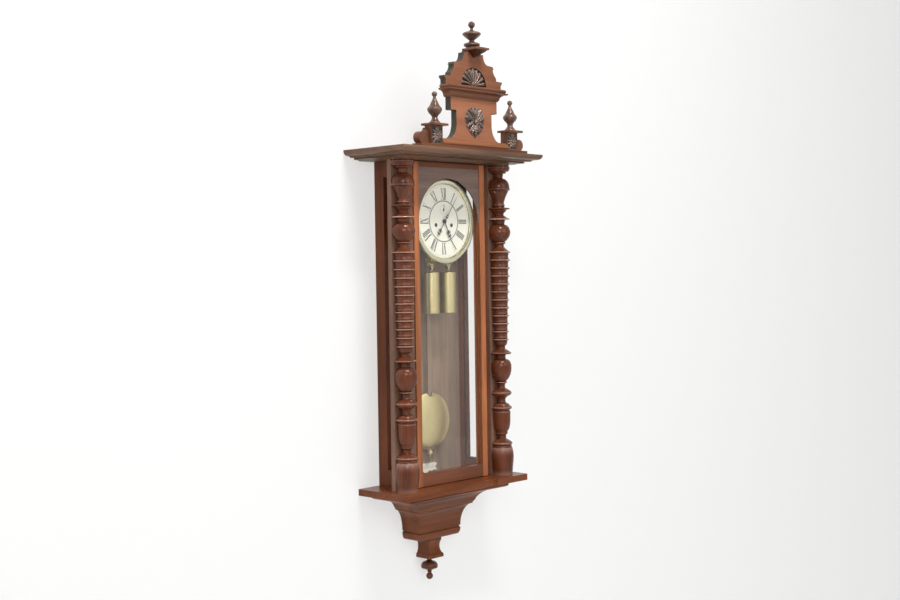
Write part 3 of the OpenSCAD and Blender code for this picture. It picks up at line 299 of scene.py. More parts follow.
def parts_of(tree, vector):
    return add(tree, "SeparateXYZ", Vector=vector).outputs


def coordinate(tree, kind):
    return add(tree, "TexCoord").outputs[kind]


def stretched_noise(tree, vector, scale, detail, rough, warp=0.0):
    place = add(tree, "Mapping", Vector=vector, Scale=scale).outputs[0]
    noise = add(tree, "TexNoise", Vector=place, Scale=1.0, Detail=detail, Roughness=rough, Distortion=warp)
    return noise.outputs["Fac"]


def new_group(name, inputs, outputs):
    """Node group with named sockets; colours are four values long and vectors three."""
    kinds = {float: "NodeSocketFloat", tuple: "NodeSocketColor", list: "NodeSocketVector"}
    tree = bpy.data.node_groups.new(name, "ShaderNodeTree")
    for label, default in inputs:
        socket = tree.interface.new_socket(name=label, in_out="INPUT", socket_type=kinds[type(default)])
        if not isinstance(default, list):
            socket.default_value = default
    for label, kind in outputs:
        tree.interface.new_socket(name=label, in_out="OUTPUT", socket_type=kinds[kind])
    start = tree.nodes.new("NodeGroupInput")
    end = tree.nodes.new("NodeGroupOutput")
    return tree, start.outputs, end


def grain_group():
    """Wood: growth figure, streaks and open pores along the local Z direction."""
    tree, given, end = new_group(
        "Wood grain",
        [("Vector", [0, 0, 0]), ("Dark", (0.05, 0.02, 0.01, 1)), ("Light", (0.2, 0.08, 0.04, 1)),
         ("Pores", 0.5), ("Base roughness", 0.3)],
        [("Color", tuple), ("Roughness", float), ("Height", float)])
    place = given["Vector"]
    figure = stretched_noise(tree, place, (14, 14, 1.6), 3, 0.5, 1.2)
    streaks = stretched_noise(tree, place, (130, 130, 5), 6, 0.65, 0.4)
    pores = stretched_noise(tree, place, (900, 900, 45), 2, 0.5)
    mottle = stretched_noise(tree, place, (6, 6, 4), 2, 0.5)
    tone = ramp(tree, plus(tree, times(tree, figure, 0.62), times(tree, streaks, 0.38)), 0.36, 0.64)
    pit = times(tree, ramp(tree, pores, 0.60, 0.74), given["Pores"])
    cloud = ramp(tree, mottle, 0.3, 0.7)
    shade = plus(tree, times(tree, cloud, 0.30), 0.85)
    grey = add(tree, "CombineColor", Red=shade, Green=shade, Blue=shade)
    tint = mix_colour(tree, tone, given["Dark"], given["Light"])
    tint = mix_colour(tree, times(tree, pit, 0.7), tint, (0.010, 0.004, 0.003))
    tint = mix_colour(tree, 1.0, tint, grey.outputs[0], "MULTIPLY")
    rough = plus(tree, given["Base roughness"], times(tree, cloud, 0.06))
    rough = plus(tree, rough, times(tree, pit, 0.15))
    join(tree, end, Color=tint, Roughness=rough, Height=minus(tree, 1.0, pit))
    return tree


def wear_group():
    """Metal and enamel: smudges in roughness, faint tarnish in colour, hairlines in height."""
    tree, given, end = new_group(
        "Handling marks",
        [("Vector", [0, 0, 0]), ("Color", (0.8, 0.6, 0.3, 1)), ("Tarnish color", (0.3, 0.2, 0.1, 1)),
         ("Amount", 0.3), ("Base roughness", 0.2), ("Hairline scale", 1.0)],
        [("Color", tuple), ("Roughness", float), ("Height", float)])
    place = given["Vector"]
    smudge = stretched_noise(tree, place, (45, 45, 45), 5, 0.6, 0.6)
    spots = stretched_noise(tree, place, (260, 260, 260), 3, 0.6)
    hair = stretched_noise(tree, place, (2400, 2400, 60), 2, 0.5)
    stain = times(tree, ramp(tree, smudge, 0.42, 0.68), given["Amount"])
    fleck = times(tree, ramp(tree, spots, 0.62, 0.75), given["Amount"])
    mask = math_node(tree, "ADD", times(tree, stain, 0.5), fleck, True)
    rough = plus(tree, given["Base roughness"], times(tree, stain, 0.35))
    join(tree, end, Color=mix_colour(tree, mask, given["Color"], given["Tarnish color"]),
         Roughness=rough, Height=times(tree, hair, given["Hairline scale"]))
    return tree


def crevice_group():
    """Mask that is nought in carved hollows and one on ridges, from the surface itself."""
    tree, given, end = new_group("Carved relief", [("Contrast", 0.08)], [("Mask", float)])
    bend = add(tree, "NewGeometry").outputs["Pointiness"]
    low = minus(tree, 0.5, given["Contrast"])
    span = times(tree, given["Contrast"], 2.0)
    join(tree, end, Mask=math_node(tree, "DIVIDE", minus(tree, bend, low), span, True))
    return tree


GROUPS = {}
GROUP_MAKERS = {"grain": grain_group, "wear": wear_group, "crevice": crevice_group}


def use_group(tree, kind, **inputs):
    """Node of a shared effect, which is made when it is first used."""
    if kind not in GROUPS:
        GROUPS[kind] = GROUP_MAKERS[kind]()
    made = add(tree, "Group")
    made.node_tree = GROUPS[kind]
    return join(tree, made, **inputs)


def blank(name):
    """New material with its tree, its surface shader and a vector in metres."""
    made = bpy.data.materials.new(name)
    made.use_nodes = True
    tree = made.node_tree
    return made, tree, tree.nodes["Principled BSDF"], coordinate(tree, "Object")


def bump(tree, shader, height, distance, strength):
    made = add(tree, "Bump", Height=height, Distance=distance, Strength=strength)
    join(tree, shader, Normal=made.outputs[0])


# Materials

COAT_ROUGHNESS = 0.05
PORE_DEPTH = 0.00005
HAIRLINE_DEPTH = 0.00001
GRAIN_TURN = {"z": (0, 0, 0), "x": (0, pi / 2, 0)}
# Carved or plain wood: contrast of the ridges, ends of the hollows, and brightness left in them under painted
# shade
RELIEF = {True: (0.03, 0.15, 0.85, 1.0), False: (0.06, 0.1, 0.45, 0.35)}


def boards(tree, vector, along, dark, light, rough):
    """Grain of boards that run along one axis."""
    place = add(tree, "Mapping", Vector=vector, Rotation=GRAIN_TURN[along]).outputs[0]
    return use_group(tree, "grain", Vector=place, Dark=dark, Light=light, Pores=0.4, Base_roughness=rough)


def wood(name, streaks, along, light=None, share=1.0, rough=0.30, coat=0.15, gloss=0.12, worn=0.0,
         carved=False, rails=False, edge=False, foot=None):
    """Polished wood whose grain runs along one axis.

    Streaks names its tints in the settings, light names another light one, and share is how much of
    them is left. Rails lays level boards between the door's stiles, edge paints shade on the faces that
    do not look forward or back, foot tints what lies below a height, and worn is how much pale painted
    highlight lies on upper ridges.
    """
    s = settings("wood")
    keys = (streaks + "_dark", (light or streaks) + "_light")
    dark, pale = (tuple(share * c for c in getattr(s, key)) for key in keys)
    made, tree, shader, vector = blank(f"{name} {along}")
    grain = boards(tree, vector, along, dark, pale, rough)
    base = grain.outputs["Color"]
    if rails:
        level = boards(tree, vector, "x", s.rail_dark, s.rail_light, rough)
        across = size_of(tree, parts_of(tree, vector)["X"])
        stiles = step_at(tree, across, SIGHT_HALF * MM, 0.0002)
        base = mix_colour(tree, stiles, level.outputs["Color"], base)
    if foot is not None:
        height, tint = foot
        above = step_at(tree, parts_of(tree, vector)["Z"], height, 0.0003)
        base = mix_colour(tree, above, mix_colour(tree, 1.0, base, tint, "MULTIPLY"), base)
    # Painted shade: faces that do not look forward or back take the dark grey side colour
    if edge:
        facing = size_of(tree, parts_of(tree, coordinate(tree, "Normal"))["Y"])
        base = mix_colour(tree, ramp(tree, facing, 0.25, 0.75), s.crest_edge, base)
    # Painted shade: concave places, found from the curvature of the surface, are darkened towards the dark
    # streaks
    contrast, low, high, left = RELIEF[carved]
    ridge = use_group(tree, "crevice", Contrast=contrast).outputs["Mask"]
    base = mix_colour(tree, ramp(tree, ridge, low, high), tuple(left * c for c in dark), base)
    # Painted highlight: a pale tint on ridges that face upward, where a top light would glint
    if worn:
        upper = ramp(tree, parts_of(tree, coordinate(tree, "Normal"))["Z"], -0.25, 0.35)
        highlight_mask = times(tree, times(tree, ramp(tree, ridge, 0.60, 0.95), upper), worn)
        base = mix_colour(tree, highlight_mask, base, s.worn)
    join(tree, shader, Base_Color=base, Roughness=grain.outputs["Roughness"], Specular_IOR_Level=gloss,
         Coat_Weight=coat, Coat_Roughness=COAT_ROUGHNESS)
    bump(tree, shader, grain.outputs["Height"], PORE_DEPTH, 0.2)
    return made


def metal(name, tint, tarnish, share=1.0, rough=0.18, amount=0.35, hairline=0.5, metallic=1.0, coat=0.0):
    """Metal, enamel or ink with the marks of handling; tint is a colour or its place in the settings."""
    made, tree, shader, vector = blank(name)
    if isinstance(tint, str):
        group, key = tint.split()
        tint = getattr(settings(group), key)
    wear = use_group(tree, "wear", Vector=vector, Color=tuple(share * c for c in tint), Tarnish_color=tarnish,
                     Amount=amount, Base_roughness=rough, Hairline_scale=hairline)
    join(tree, shader, Base_Color=wear.outputs["Color"], Roughness=wear.outputs["Roughness"],
         Metallic=metallic, Coat_Weight=coat, Coat_Roughness=COAT_ROUGHNESS)
    bump(tree, shader, wear.outputs["Height"], HAIRLINE_DEPTH, 0.4)
    return made


def glass(name):
    """Clear pane that lets light and shadow rays straight through."""
    made, tree, shader, vector = blank(name)
    wear = use_group(tree, "wear", Vector=vector, Color=(1.0, 1.0, 1.0), Tarnish_color=(0.98, 0.99, 0.985),
                     Amount=0.25, Base_roughness=0.0, Hairline_scale=0.2)
    join(tree, shader, Base_Color=wear.outputs["Color"], Roughness=0.0, IOR=1.45, Transmission_Weight=1.0)
    rays = add(tree, "LightPath").outputs
    through = larger(tree, rays["Is Shadow Ray"], rays["Is Diffuse Ray"])
    clear = add(tree, "BsdfTransparent", Color=(0.985, 0.99, 0.985))
    show(tree, mix_shader(tree, through, shader.outputs[0], clear.outputs[0]))
    return made


WOODS = {
    "Cabinet wood": dict(streaks="case"),
    "Stile wood": dict(streaks="stile"),
    "Door wood": dict(streaks="stile", rails=True),
    "Arch wood": dict(streaks="arch"),
    "Cornice wood": dict(streaks="cornice"),
    "Post wood": dict(streaks="post"),
    "Turned wood": dict(streaks="turned", rough=0.22, coat=0.4, gloss=0.10, worn=0.9),
    "Finial wood": dict(streaks="finial", rough=0.22, coat=0.5, gloss=0.15, worn=0.35),
    "Crest wood": dict(streaks="crest", rough=0.40, coat=0.05, edge=True),
    "Crest head wood": dict(streaks="crest", share=0.68, rough=0.40, coat=0.05, edge=True),
    "Crest trim wood": dict(streaks="crest", share=0.5, rough=0.34, coat=0.2),
    # Nearly black on the bracket under the plate of the cap, as a painted shadow
    "Crest cap wood": dict(streaks="crest", share=0.5, coat=0.2,
                           foot=(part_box("crest_cap")[1][2] - CAP_PLATE, (0.30, 0.26, 0.26))),
    # Amber bead over the dark plinth strip at the foot of the crest
    "Crest bead wood": dict(streaks="crest", light="bead",
                            foot=(CREST_BASE * MM - HANG - 0.0002, (0.42, 0.45, 0.60))),
    # Door beads: the amber is a painted highlight
    "Amber bead wood": dict(streaks="crest", light="bead", rough=0.26, coat=0.2),
    "Carved wood": dict(streaks="carving", rough=0.26, coat=0.6, gloss=0.3, worn=0.8, carved=True),
    "Inside wood": dict(streaks="inner", rough=0.45, coat=0.1),
}
METALS = {
    "Brass": dict(tint="metal brass", tarnish=(0.42, 0.32, 0.13), amount=0.3),
    "Bob brass": dict(tint="metal brass", tarnish=(0.42, 0.32, 0.13), rough=0.38, amount=0.3),
    "Weight brass": dict(tint="metal brass", tarnish=(0.34, 0.27, 0.12), share=0.72, rough=0.34, amount=0.3),
    "Bezel brass": dict(tint="metal bezel", tarnish=(0.50, 0.43, 0.24), rough=0.16, amount=0.2),
    # Nearly black: painted shade on the drums seen through the winding holes; the eyelets and the door stud
    # share it
    "Dark brass": dict(tint=(0.05, 0.045, 0.03), tarnish=(0.02, 0.018, 0.014), rough=0.45, metallic=0.5),
    "Steel": dict(tint="metal steel", tarnish=(0.16, 0.13, 0.11), rough=0.3, amount=0.4),
    "Hand steel": dict(tint="metal hand", tarnish=(0.05, 0.04, 0.035), rough=0.32, metallic=0.4),
    "Gut line": dict(tint="metal cord", tarnish=(0.2, 0.13, 0.06), rough=0.6, metallic=0.0),
    "Enamel": dict(tint="dial enamel", tarnish=(0.74, 0.68, 0.53), rough=0.16, amount=0.25, hairline=0.1,
                   metallic=0.0, coat=0.5),
    "Fired ink": dict(tint="dial ink", tarnish=(0.10, 0.10, 0.09), rough=0.35, amount=0.5, metallic=0.0),
    "Pale fired ink": dict(tint="dial pale_ink", tarnish=(0.30, 0.30, 0.26), rough=0.35, amount=0.5,
                           metallic=0.0),
}
MATERIALS = {}


def made_of(name, along="z"):
    """Material of that name, made once; along is the way that the grain of a wood runs."""
    key = (name, along)
    if key not in MATERIALS:
        if name in WOODS:
            MATERIALS[key] = wood(name, along=along, **WOODS[name])
        else:
            MATERIALS[key] = metal(name, **METALS[name]) if name in METALS else glass(name)
    return MATERIALS[key]


# Mesh tools

def placed(name, data):
    """New object in the scene's own collection."""
    made = bpy.data.objects.new(name, data)
    bpy.context.scene.collection.objects.link(made)
    return made


def smooth(mesh, angle):
    mesh.shade_smooth()
    mesh.set_sharp_from_angle(angle=radians(angle))


def from_bmesh(name, bm, node, material, angle=32, along="z"):
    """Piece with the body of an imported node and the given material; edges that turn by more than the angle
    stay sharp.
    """
    bmesh.ops.recalc_face_normals(bm, faces=bm.faces)
    mesh = bpy.data.meshes.new(name)
    bm.to_mesh(mesh)
    bm.free()
    smooth(mesh, angle)
    made = placed(name, mesh)
    mesh.materials.append(made_of(material, along))
    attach(made, BODIES[node])
    return made


def ease(piece, width):
    """Rounds the sharp edges of a piece."""
    bevel = piece.modifiers.new("Eased edges", "BEVEL")
    bevel.width = width
    bevel.segments = 2
    bevel.limit_method = "ANGLE"
    bevel.angle_limit = radians(35)
    bevel.use_clamp_overlap = True
    bevel.harden_normals = True


def eased(node, material, width=None, angle=32, along="z"):
    """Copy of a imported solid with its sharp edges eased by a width, shown in its place."""
    bm = bmesh.new()
    bm.from_mesh(frame["nodes"][node].data)
    bmesh.ops.remove_doubles(bm, verts=bm.verts, dist=1e-6)
    bmesh.ops.dissolve_limit(bm, angle_limit=radians(0.6), verts=bm.verts, edges=bm.edges)
    made = from_bmesh(node + "_eased", bm, node, material, angle, along)
    ease(made, settings("wood").edge_round if width is None else width)
    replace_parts(made, node)


def paint(nodes, material):
    """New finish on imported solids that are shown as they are."""
    for node in nodes:
        slots = frame["nodes"][node].data.materials
        slots.clear()
        slots.append(made_of(material))


def stretching_line(node):
    """Straight runs of a weight's line, copied smooth in the gut line finish and shown in place of the packed
    runs.
    """
    mesh = frame["nodes"][node].data.copy()
    mesh.name = node + "_gut"
    mesh.materials.clear()
    mesh.materials.append(made_of("Gut line"))
    smooth(mesh, 60)
    made = placed(node + "_gut", mesh)
    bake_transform(made)
    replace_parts(made, node)


def bridge(bm, rings):
    """Faces between rings of equally many corners; a ring may be one corner many times."""
    for low, high in zip(rings, rings[1:]):
        for i in range(len(low)):
            j = (i + 1) % len(low)
            corners = []
            for v in (low[i], low[j], high[j], high[i]):
                if v not in corners:
                    corners.append(v)
            if len(corners) > 2:
                bm.faces.new(corners)


def lathe(name, profile, axis, node, material, cut):
    """Revolves radius and height pairs about a vertical axis; cut removes what lies behind a plane."""
    bm = bmesh.new()
    turns = [2 * pi * i / TURN_SIDES for i in range(TURN_SIDES)]
    x, y = axis
    rings = []
    for radius, height in profile:
        if radius < 1e-7:
            rings.append([bm.verts.new((x, y, height))] * TURN_SIDES)
        else:
            rings.append([bm.verts.new((x + radius * cos(a), y + radius * sin(a), height))
                          for a in turns])
    bridge(bm, rings)
    if cut is not None:
        geometry = bm.verts[:] + bm.edges[:] + bm.faces[:]
        made = bmesh.ops.bisect_plane(
            bm, geom=geometry, plane_co=(0, cut, 0), plane_no=(0, 1, 0), clear_outer=True)
        edges = [e for e in made["geom_cut"] if isinstance(e, bmesh.types.BMEdge)]
        bmesh.ops.holes_fill(bm, edges=edges)
    return from_bmesh(name, bm, node, material, 40)


def rounded(points):
    """Runs a smooth curve through a profile, and keeps its corners."""
    pts = [Vector(p) for p in points]
    count = len(pts)
    sharp = [True] * count
    for i in range(1, count - 1):
        a = pts[i] - pts[i - 1]
        b = pts[i + 1] - pts[i]
        if a.length and b.length:
            sharp[i] = a.angle(b) > radians(TURN_CORNER)
    tangents = []
    for i in range(count):
        before = pts[i] - pts[i - 1] if i else pts[1] - pts[0]
        after = pts[i + 1] - pts[i] if i < count - 1 else before
        tangents.append((before.normalized() + after.normalized()).normalized())
    result = []
    for i in range(count - 1):
        span = pts[i + 1] - pts[i]
        start = span if sharp[i] else tangents[i] * span.length
        end = span if sharp[i + 1] else tangents[i + 1] * span.length
        pieces = max(1, min(8, round(span.length / TURN_STEP)))
        if sharp[i] and sharp[i + 1]:
            pieces = 1
        for k in range(pieces):
            t = k / pieces
            h1 = 2 * t ** 3 - 3 * t ** 2 + 1
            h2 = t ** 3 - 2 * t ** 2 + t
            h3 = -2 * t ** 3 + 3 * t ** 2
            h4 = t ** 3 - t ** 2
            result.append(h1 * pts[i] + h2 * start + h3 * pts[i + 1] + h4 * end)
    result.append(pts[-1])
    return [(max(0.0, p.x), p.y) for p in result]


def turned_profile(node, axis, side=0):
    """Radii found at each height of a packed turning, from the front half of its rings."""
    ring = {}
    for v in frame["nodes"][node].data.vertices:
        if side and abs(v.co.x - axis[0]) > 0.06:
            continue
        radius = hypot(v.co.x - axis[0], v.co.y - axis[1])
        if radius > 1e-5 and v.co.y > axis[1] - 0.3 * radius:
            continue
        ring.setdefault(round(v.co.z, 5), set()).add(round(radius, 5))
    return ring


def turning(node, name, axis, material, side=0, cut=None):
    """Smooth lathe-turned copy of a packed turning."""
    rings = turned_profile(node, axis, side)
    heights = sorted(rings)
    profile = [(0.0, heights[0])]
    for height in heights:
        radii = sorted(r for r in rings[height] if r > 1e-5)
        if not radii:
            profile.append((0.0, height))
        elif radii[-1] - radii[0] < 1e-4:
            profile.append((radii[-1], height))
        else:
            last = profile[-1][0]
            ends = (radii[0], radii[-1])
            nearer = abs(ends[0] - last) < abs(ends[1] - last)
            profile.extend((r, height) for r in (ends if nearer else ends[::-1]))
    if profile[-1][0] > 1e-6:
        profile.append((0.0, heights[-1]))
    clean = [profile[0]]
    for point in profile[1:]:
        if (Vector(point) - Vector(clean[-1])).length > 1e-5:
            clean.append(point)
    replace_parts(lathe(name, rounded(clean), axis, node, material, cut), node)


def plank(name, low, high, node, material):
    """Board between two corners of the row frame, with eased edges."""
    bm = bmesh.new()
    made = bmesh.ops.create_cube(bm, size=1.0)
    for v in made["verts"]:
        v.co = Vector(low[k] + (high[k] - low[k]) * (v.co[k] + 0.5) for k in range(3))
    ease(from_bmesh(name, bm, node, material), 0.0008)


def upright_bead(name, x, low, high, out, radius, node, material):
    """Half round bead with quarter round ends, upright on the face of the door."""
    steps = 10
    bm = bmesh.new()
    rings = []
    for z, way in ((low, 1), (high, -1)):
        tilts = [pi / 2 * k / 3 for k in range(4)]
        ends = [(radius * sin(a), z + way * radius * (1 - cos(a))) for a in tilts[::way]]
        rings += [[bm.verts.new(row(x - radius * cos(pi * i / steps),
                                    out + max(0.02, size) * sin(pi * i / steps), height))
                   for i in range(steps + 1)] for size, height in ends]
    bridge(bm, rings)
    bm.faces.new(rings[0])
    bm.faces.new(rings[-1][::-1])
    from_bmesh(name, bm, node, material, 40)


def circle(bm, x, z, radius, out, steps):
    """Ring of corners about a point of the front."""
    turns = [2 * pi * i / steps for i in range(steps)]
    return [bm.verts.new(row(x + radius * cos(a), out, z + radius * sin(a))) for a in turns]


def stud(name, x, z, out, radius, node, material):
    """Low domed head of a nail or screw on a face that looks forward."""
    steps = 24
    rise = 0.45 * radius
    bm = bmesh.new()
    tilts = [pi / 2 * k / 4 for k in range(4)]
    rings = [circle(bm, x, z, radius * cos(a), out + rise * sin(a), steps) for a in tilts]
    bridge(bm, rings + [[bm.verts.new(row(x, out + rise, z))] * steps])
    bm.faces.new(rings[0][::-1])
    from_bmesh(name, bm, node, material, 60)


def eyelet(name, x, z):
    """Collar of a winding hole in the dial."""
    bm = bmesh.new()
    bridge(bm, [circle(bm, x, z, radius, out, 48) for radius, out in EYELET])
    from_bmesh(name, bm, "bezel", "Dark brass", 60)


# Carving

class Leaf:
    """Carved leaf: root, direction, length, half width, height, curl and lobes; millimetres and degrees."""

    def __init__(self, x, z, angle, reach, half, high, curl, lobes):
        self.root = (x, z)
        self.turn = radians(angle)
        self.reach = reach
        self.half = half
        self.high = high
        self.curl = curl
        self.lobes = lobes

    def height(self, x, z):
        dx, dz = x - self.root[0], z - self.root[1]
        u = (dx * cos(self.turn) + dz * sin(self.turn)) / self.reach
        v = -dx * sin(self.turn) + dz * cos(self.turn)
        v = v - self.curl * self.reach * u * u
        inside = (u > 0) & (u < 1)
        uu = np.clip(u, 0.0, 1.0)
        width = self.half * np.sqrt(np.sin(np.pi * uu ** 0.8) + 1e-6)
        width = width * (0.80 + 0.20 * np.abs(np.sin(self.lobes * np.pi * uu)))
        across = np.clip(np.abs(v) / (width + 1e-6), 0, 1)
        form = np.sqrt(1 - across ** 2) * (0.55 + 0.45 * np.sin(np.pi * uu))
        vein = 0.22 * np.exp(-(v / (0.16 * self.half)) ** 2)
        ribs = 0.10 * np.abs(np.sin(self.lobes * np.pi * uu + across * 2.2))
        shape = self.high * np.clip(form - vein - ribs * (across < 0.9), 0, None)
        return np.where(inside & (across < 1), shape, 0.0)


def relief(name, size, centre, out, height_of, floor, cell, replaces=()):
    """Closed carved panel over a grid of cells, in millimetres, where height_of rises above the floor."""
    nx, nz = int(size[0] / cell), int(size[1] / cell)
    xs = np.linspace(-size[0] / 2, size[0] / 2, nx) + centre[0]
    zs = np.linspace(-size[1] / 2, size[1] / 2, nz) + centre[1]
    gx, gz = np.meshgrid(xs, zs, indexing="ij")
    high = height_of(gx, gz)
    bm = bmesh.new()
    verts = {}

    def corner(i, j):
        if (i, j) not in verts:
            verts[(i, j)] = bm.verts.new(row(gx[i, j], out + high[i, j], gz[i, j]))
        return verts[(i, j)]

    for i in range(nx - 1):
        for j in range(nz - 1):
            if min(high[i, j], high[i + 1, j], high[i, j + 1], high[i + 1, j + 1]) > floor:
                bm.faces.new([corner(i, j), corner(i + 1, j), corner(i + 1, j + 1), corner(i, j + 1)])
    edges = [e for e in bm.edges if e.is_boundary]
    made = bmesh.ops.extrude_edge_only(bm, edges=edges)
    for v in made["geom"]:
        if isinstance(v, bmesh.types.BMVert):
            v.co.y = -out * MM
    bmesh.ops.remove_doubles(bm, verts=bm.verts, dist=1e-7)
    back = [e for e in bm.edges if e.is_boundary]
    bmesh.ops.holes_fill(bm, edges=back)
    piece = from_bmesh(name, bm, "leaf_carving", "Carved wood", 60)
    for node in replaces:
        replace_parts(piece, node)


def shell_height(x, z, cz, radius, high, flutes, low, high_angle):
    """Scallop shell: flutes that fan out from a hinge and swell towards a scalloped rim."""
    dz = z - cz
    r = np.hypot(x, dz)
    a = np.degrees(np.arctan2(dz, x))
    a = np.where(a < -90, a + 360, a)
    part = (a - low) / (high_angle - low)
    wave = np.abs(np.sin(np.pi * flutes * np.clip(part, 0, 1)))
    rim = radius * (0.88 + 0.12 * wave)
    t = r / rim
    body = np.sqrt(np.clip(1 - (2 * t - 1.05) ** 2 * 0.72, 0, 1))
    flute = 0.30 + 0.70 * wave ** 0.7
    shape = high * body * flute
    fine = 0.12 * high * np.abs(np.sin(np.pi * flutes * 3 * np.clip(part, 0, 1)))
    inside = (t < 1) & (part > 0) & (part < 1)
    return np.where(inside, np.clip(shape - fine * t, 0.3, None), 0.0)


def boss_height(x, z, wide, tall, high):
    """Round boss about a point."""
    return high * np.sqrt(np.clip(1 - ((x / wide) ** 2 + (z / tall) ** 2), 0, 1))


def outward(angle, side):
    """Angle on the right side, or its mirror image on the left."""
    return angle if side > 0 else 180 - angle


# Outline of the cartouche: height from its middle, then half width
CARTOUCHE = ((-38, 0.4), (-35, 5), (-30, 11.5), (-24, 19), (-17, 25.5), (-10, 30), (-2, 33), (5, 34.4),
             (12, 34), (18, 31.5), (24, 27), (29, 20.5), (32, 12), (33, 2))
# Leaves on each side of the cartouche: place, direction, reach, half width, height, curl and lobes
CARTOUCHE_LEAVES = ((3, 8, 44, 27, 4.0, 7.0, 0.22, 3), (3, 2, 14, 30, 4.6, 7.2, 0.26, 4),
                    (4, -1, -14, 29, 5.2, 7.0, -0.26, 4), (3, -6, -38, 27, 5.4, 7.4, -0.20, 4),
                    (2, -10, -62, 24, 4.6, 7.6, 0.10, 4), (1, 10, 72, 19, 3.0, 7.4, 0.2, 2))
# Leaves on each side of a corner panel: direction, reach and half width
PANEL_LEAVES = ((66, 21, 3.6), (28, 17, 3.8), (-8, 16, 3.4), (-40, 18, 3.6), (-70, 21, 3.4))


def cartouche_height(x, z):
    """Shell over drooping leaves on a pointed ground."""
    dz = z - LEAF_Z
    around = np.arctan2(dz - 2, x)
    half = np.interp(dz, [p[0] for p in CARTOUCHE], [p[1] for p in CARTOUCHE], left=0, right=0)
    half = half * (0.93 + 0.07 * np.abs(np.sin(around * 9)))
    inside = np.abs(x) < half
    best = np.where(inside, 1.6, 0.0)
    fan = shell_height(x, z, LEAF_Z - 3, 36, 5.6, 8, 12, 168)
    best = np.where(inside & (fan > 0), np.maximum(best, fan), best)
    leaves = [Leaf(0, LEAF_Z - 8, -90, 30, 4.8, 7.8, 0, 5), Leaf(0, LEAF_Z + 5, 90, 25, 2.8, 7.6, 0, 2)]
    for side, _ in SIDES:
        for lx, lz, angle, *form, curl, lobes in CARTOUCHE_LEAVES:
            leaves.append(Leaf(side * lx, LEAF_Z + lz, outward(angle, side), *form, side * curl, lobes))
    for leaf in leaves:
        best = np.where(inside, np.maximum(best, leaf.height(x, z)), best)
    boss = boss_height(x, dz + 2, 5.0, 6.0, 7.8)
    return np.minimum(np.maximum(best, np.where(inside, boss, 0)), 7.9)


def fan_height(x, z):
    """Half shell of bold flutes with two leaves at its hinge."""
    best = shell_height(x, z, FAN_Z + 1, 41.0, 7.4, 9, 0, 180)
    for side, _ in SIDES:
        leaf = Leaf(side * 6, FAN_Z + 2, 90 - side * 66, 27, 4.4, 7.6, 0.28 * side, 4)
        best = np.maximum(best, leaf.height(x, z))
    best = np.maximum(best, boss_height(x, z - FAN_Z - 4, 8.5, 8.0, 8.4))
    return np.where(z > FAN_Z + 0.2, best, 0.0)


def panel_height(offset):
    """Carved foliage that fills a corner panel."""
    def height(x, z):
        leaves = [Leaf(offset, PANEL_Z, angle, 19, 2.8, 4.4, 0, 5) for angle in (90, -90)]
        for side, _ in SIDES:
            leaves += [Leaf(offset, PANEL_Z, outward(angle, side), reach, half, 4.0, 0.25 * side, 4)
                       for angle, reach, half in PANEL_LEAVES]
        best = np.zeros_like(x) + 0.4
        for leaf in leaves:
            best = np.maximum(best, leaf.height(x, z))
        return np.maximum(best, boss_height(x - offset, z - PANEL_Z, 3.4, 3.4, 4.6))
    return height


# Dial printing

def strokes(letter, high, thick, thin):
    """Strokes of a Roman letter as quads about its own middle, and its width."""
    if letter == "I":
        return [[(-thick / 2, 0), (thick / 2, 0), (thick / 2, high), (-thick / 2, high)]], thick * 1.5
    lean = high * 0.15
    if letter == "V":
        return [
            [(-thin, 0), (thick - thin, 0), (-lean + thick, high), (-lean - thin, high)],
            [(0, 0), (thin, 0), (lean + thin, high), (lean - thin * 0.2, high)]], lean * 2 + thick
    return [
        [(lean - thick / 2, 0), (lean + thick / 2, 0), (-lean + thick / 2, high), (-lean - thick / 2, high)],
        [(-lean - thin / 2, 0), (-lean + thin / 2, 0), (lean + thin / 2, high), (lean - thin / 2, high)],
    ], lean * 2 + thick


NUMERALS = ["XII", "I", "II", "III", "IIII", "V", "VI", "VII", "VIII", "IX", "X", "XI"]


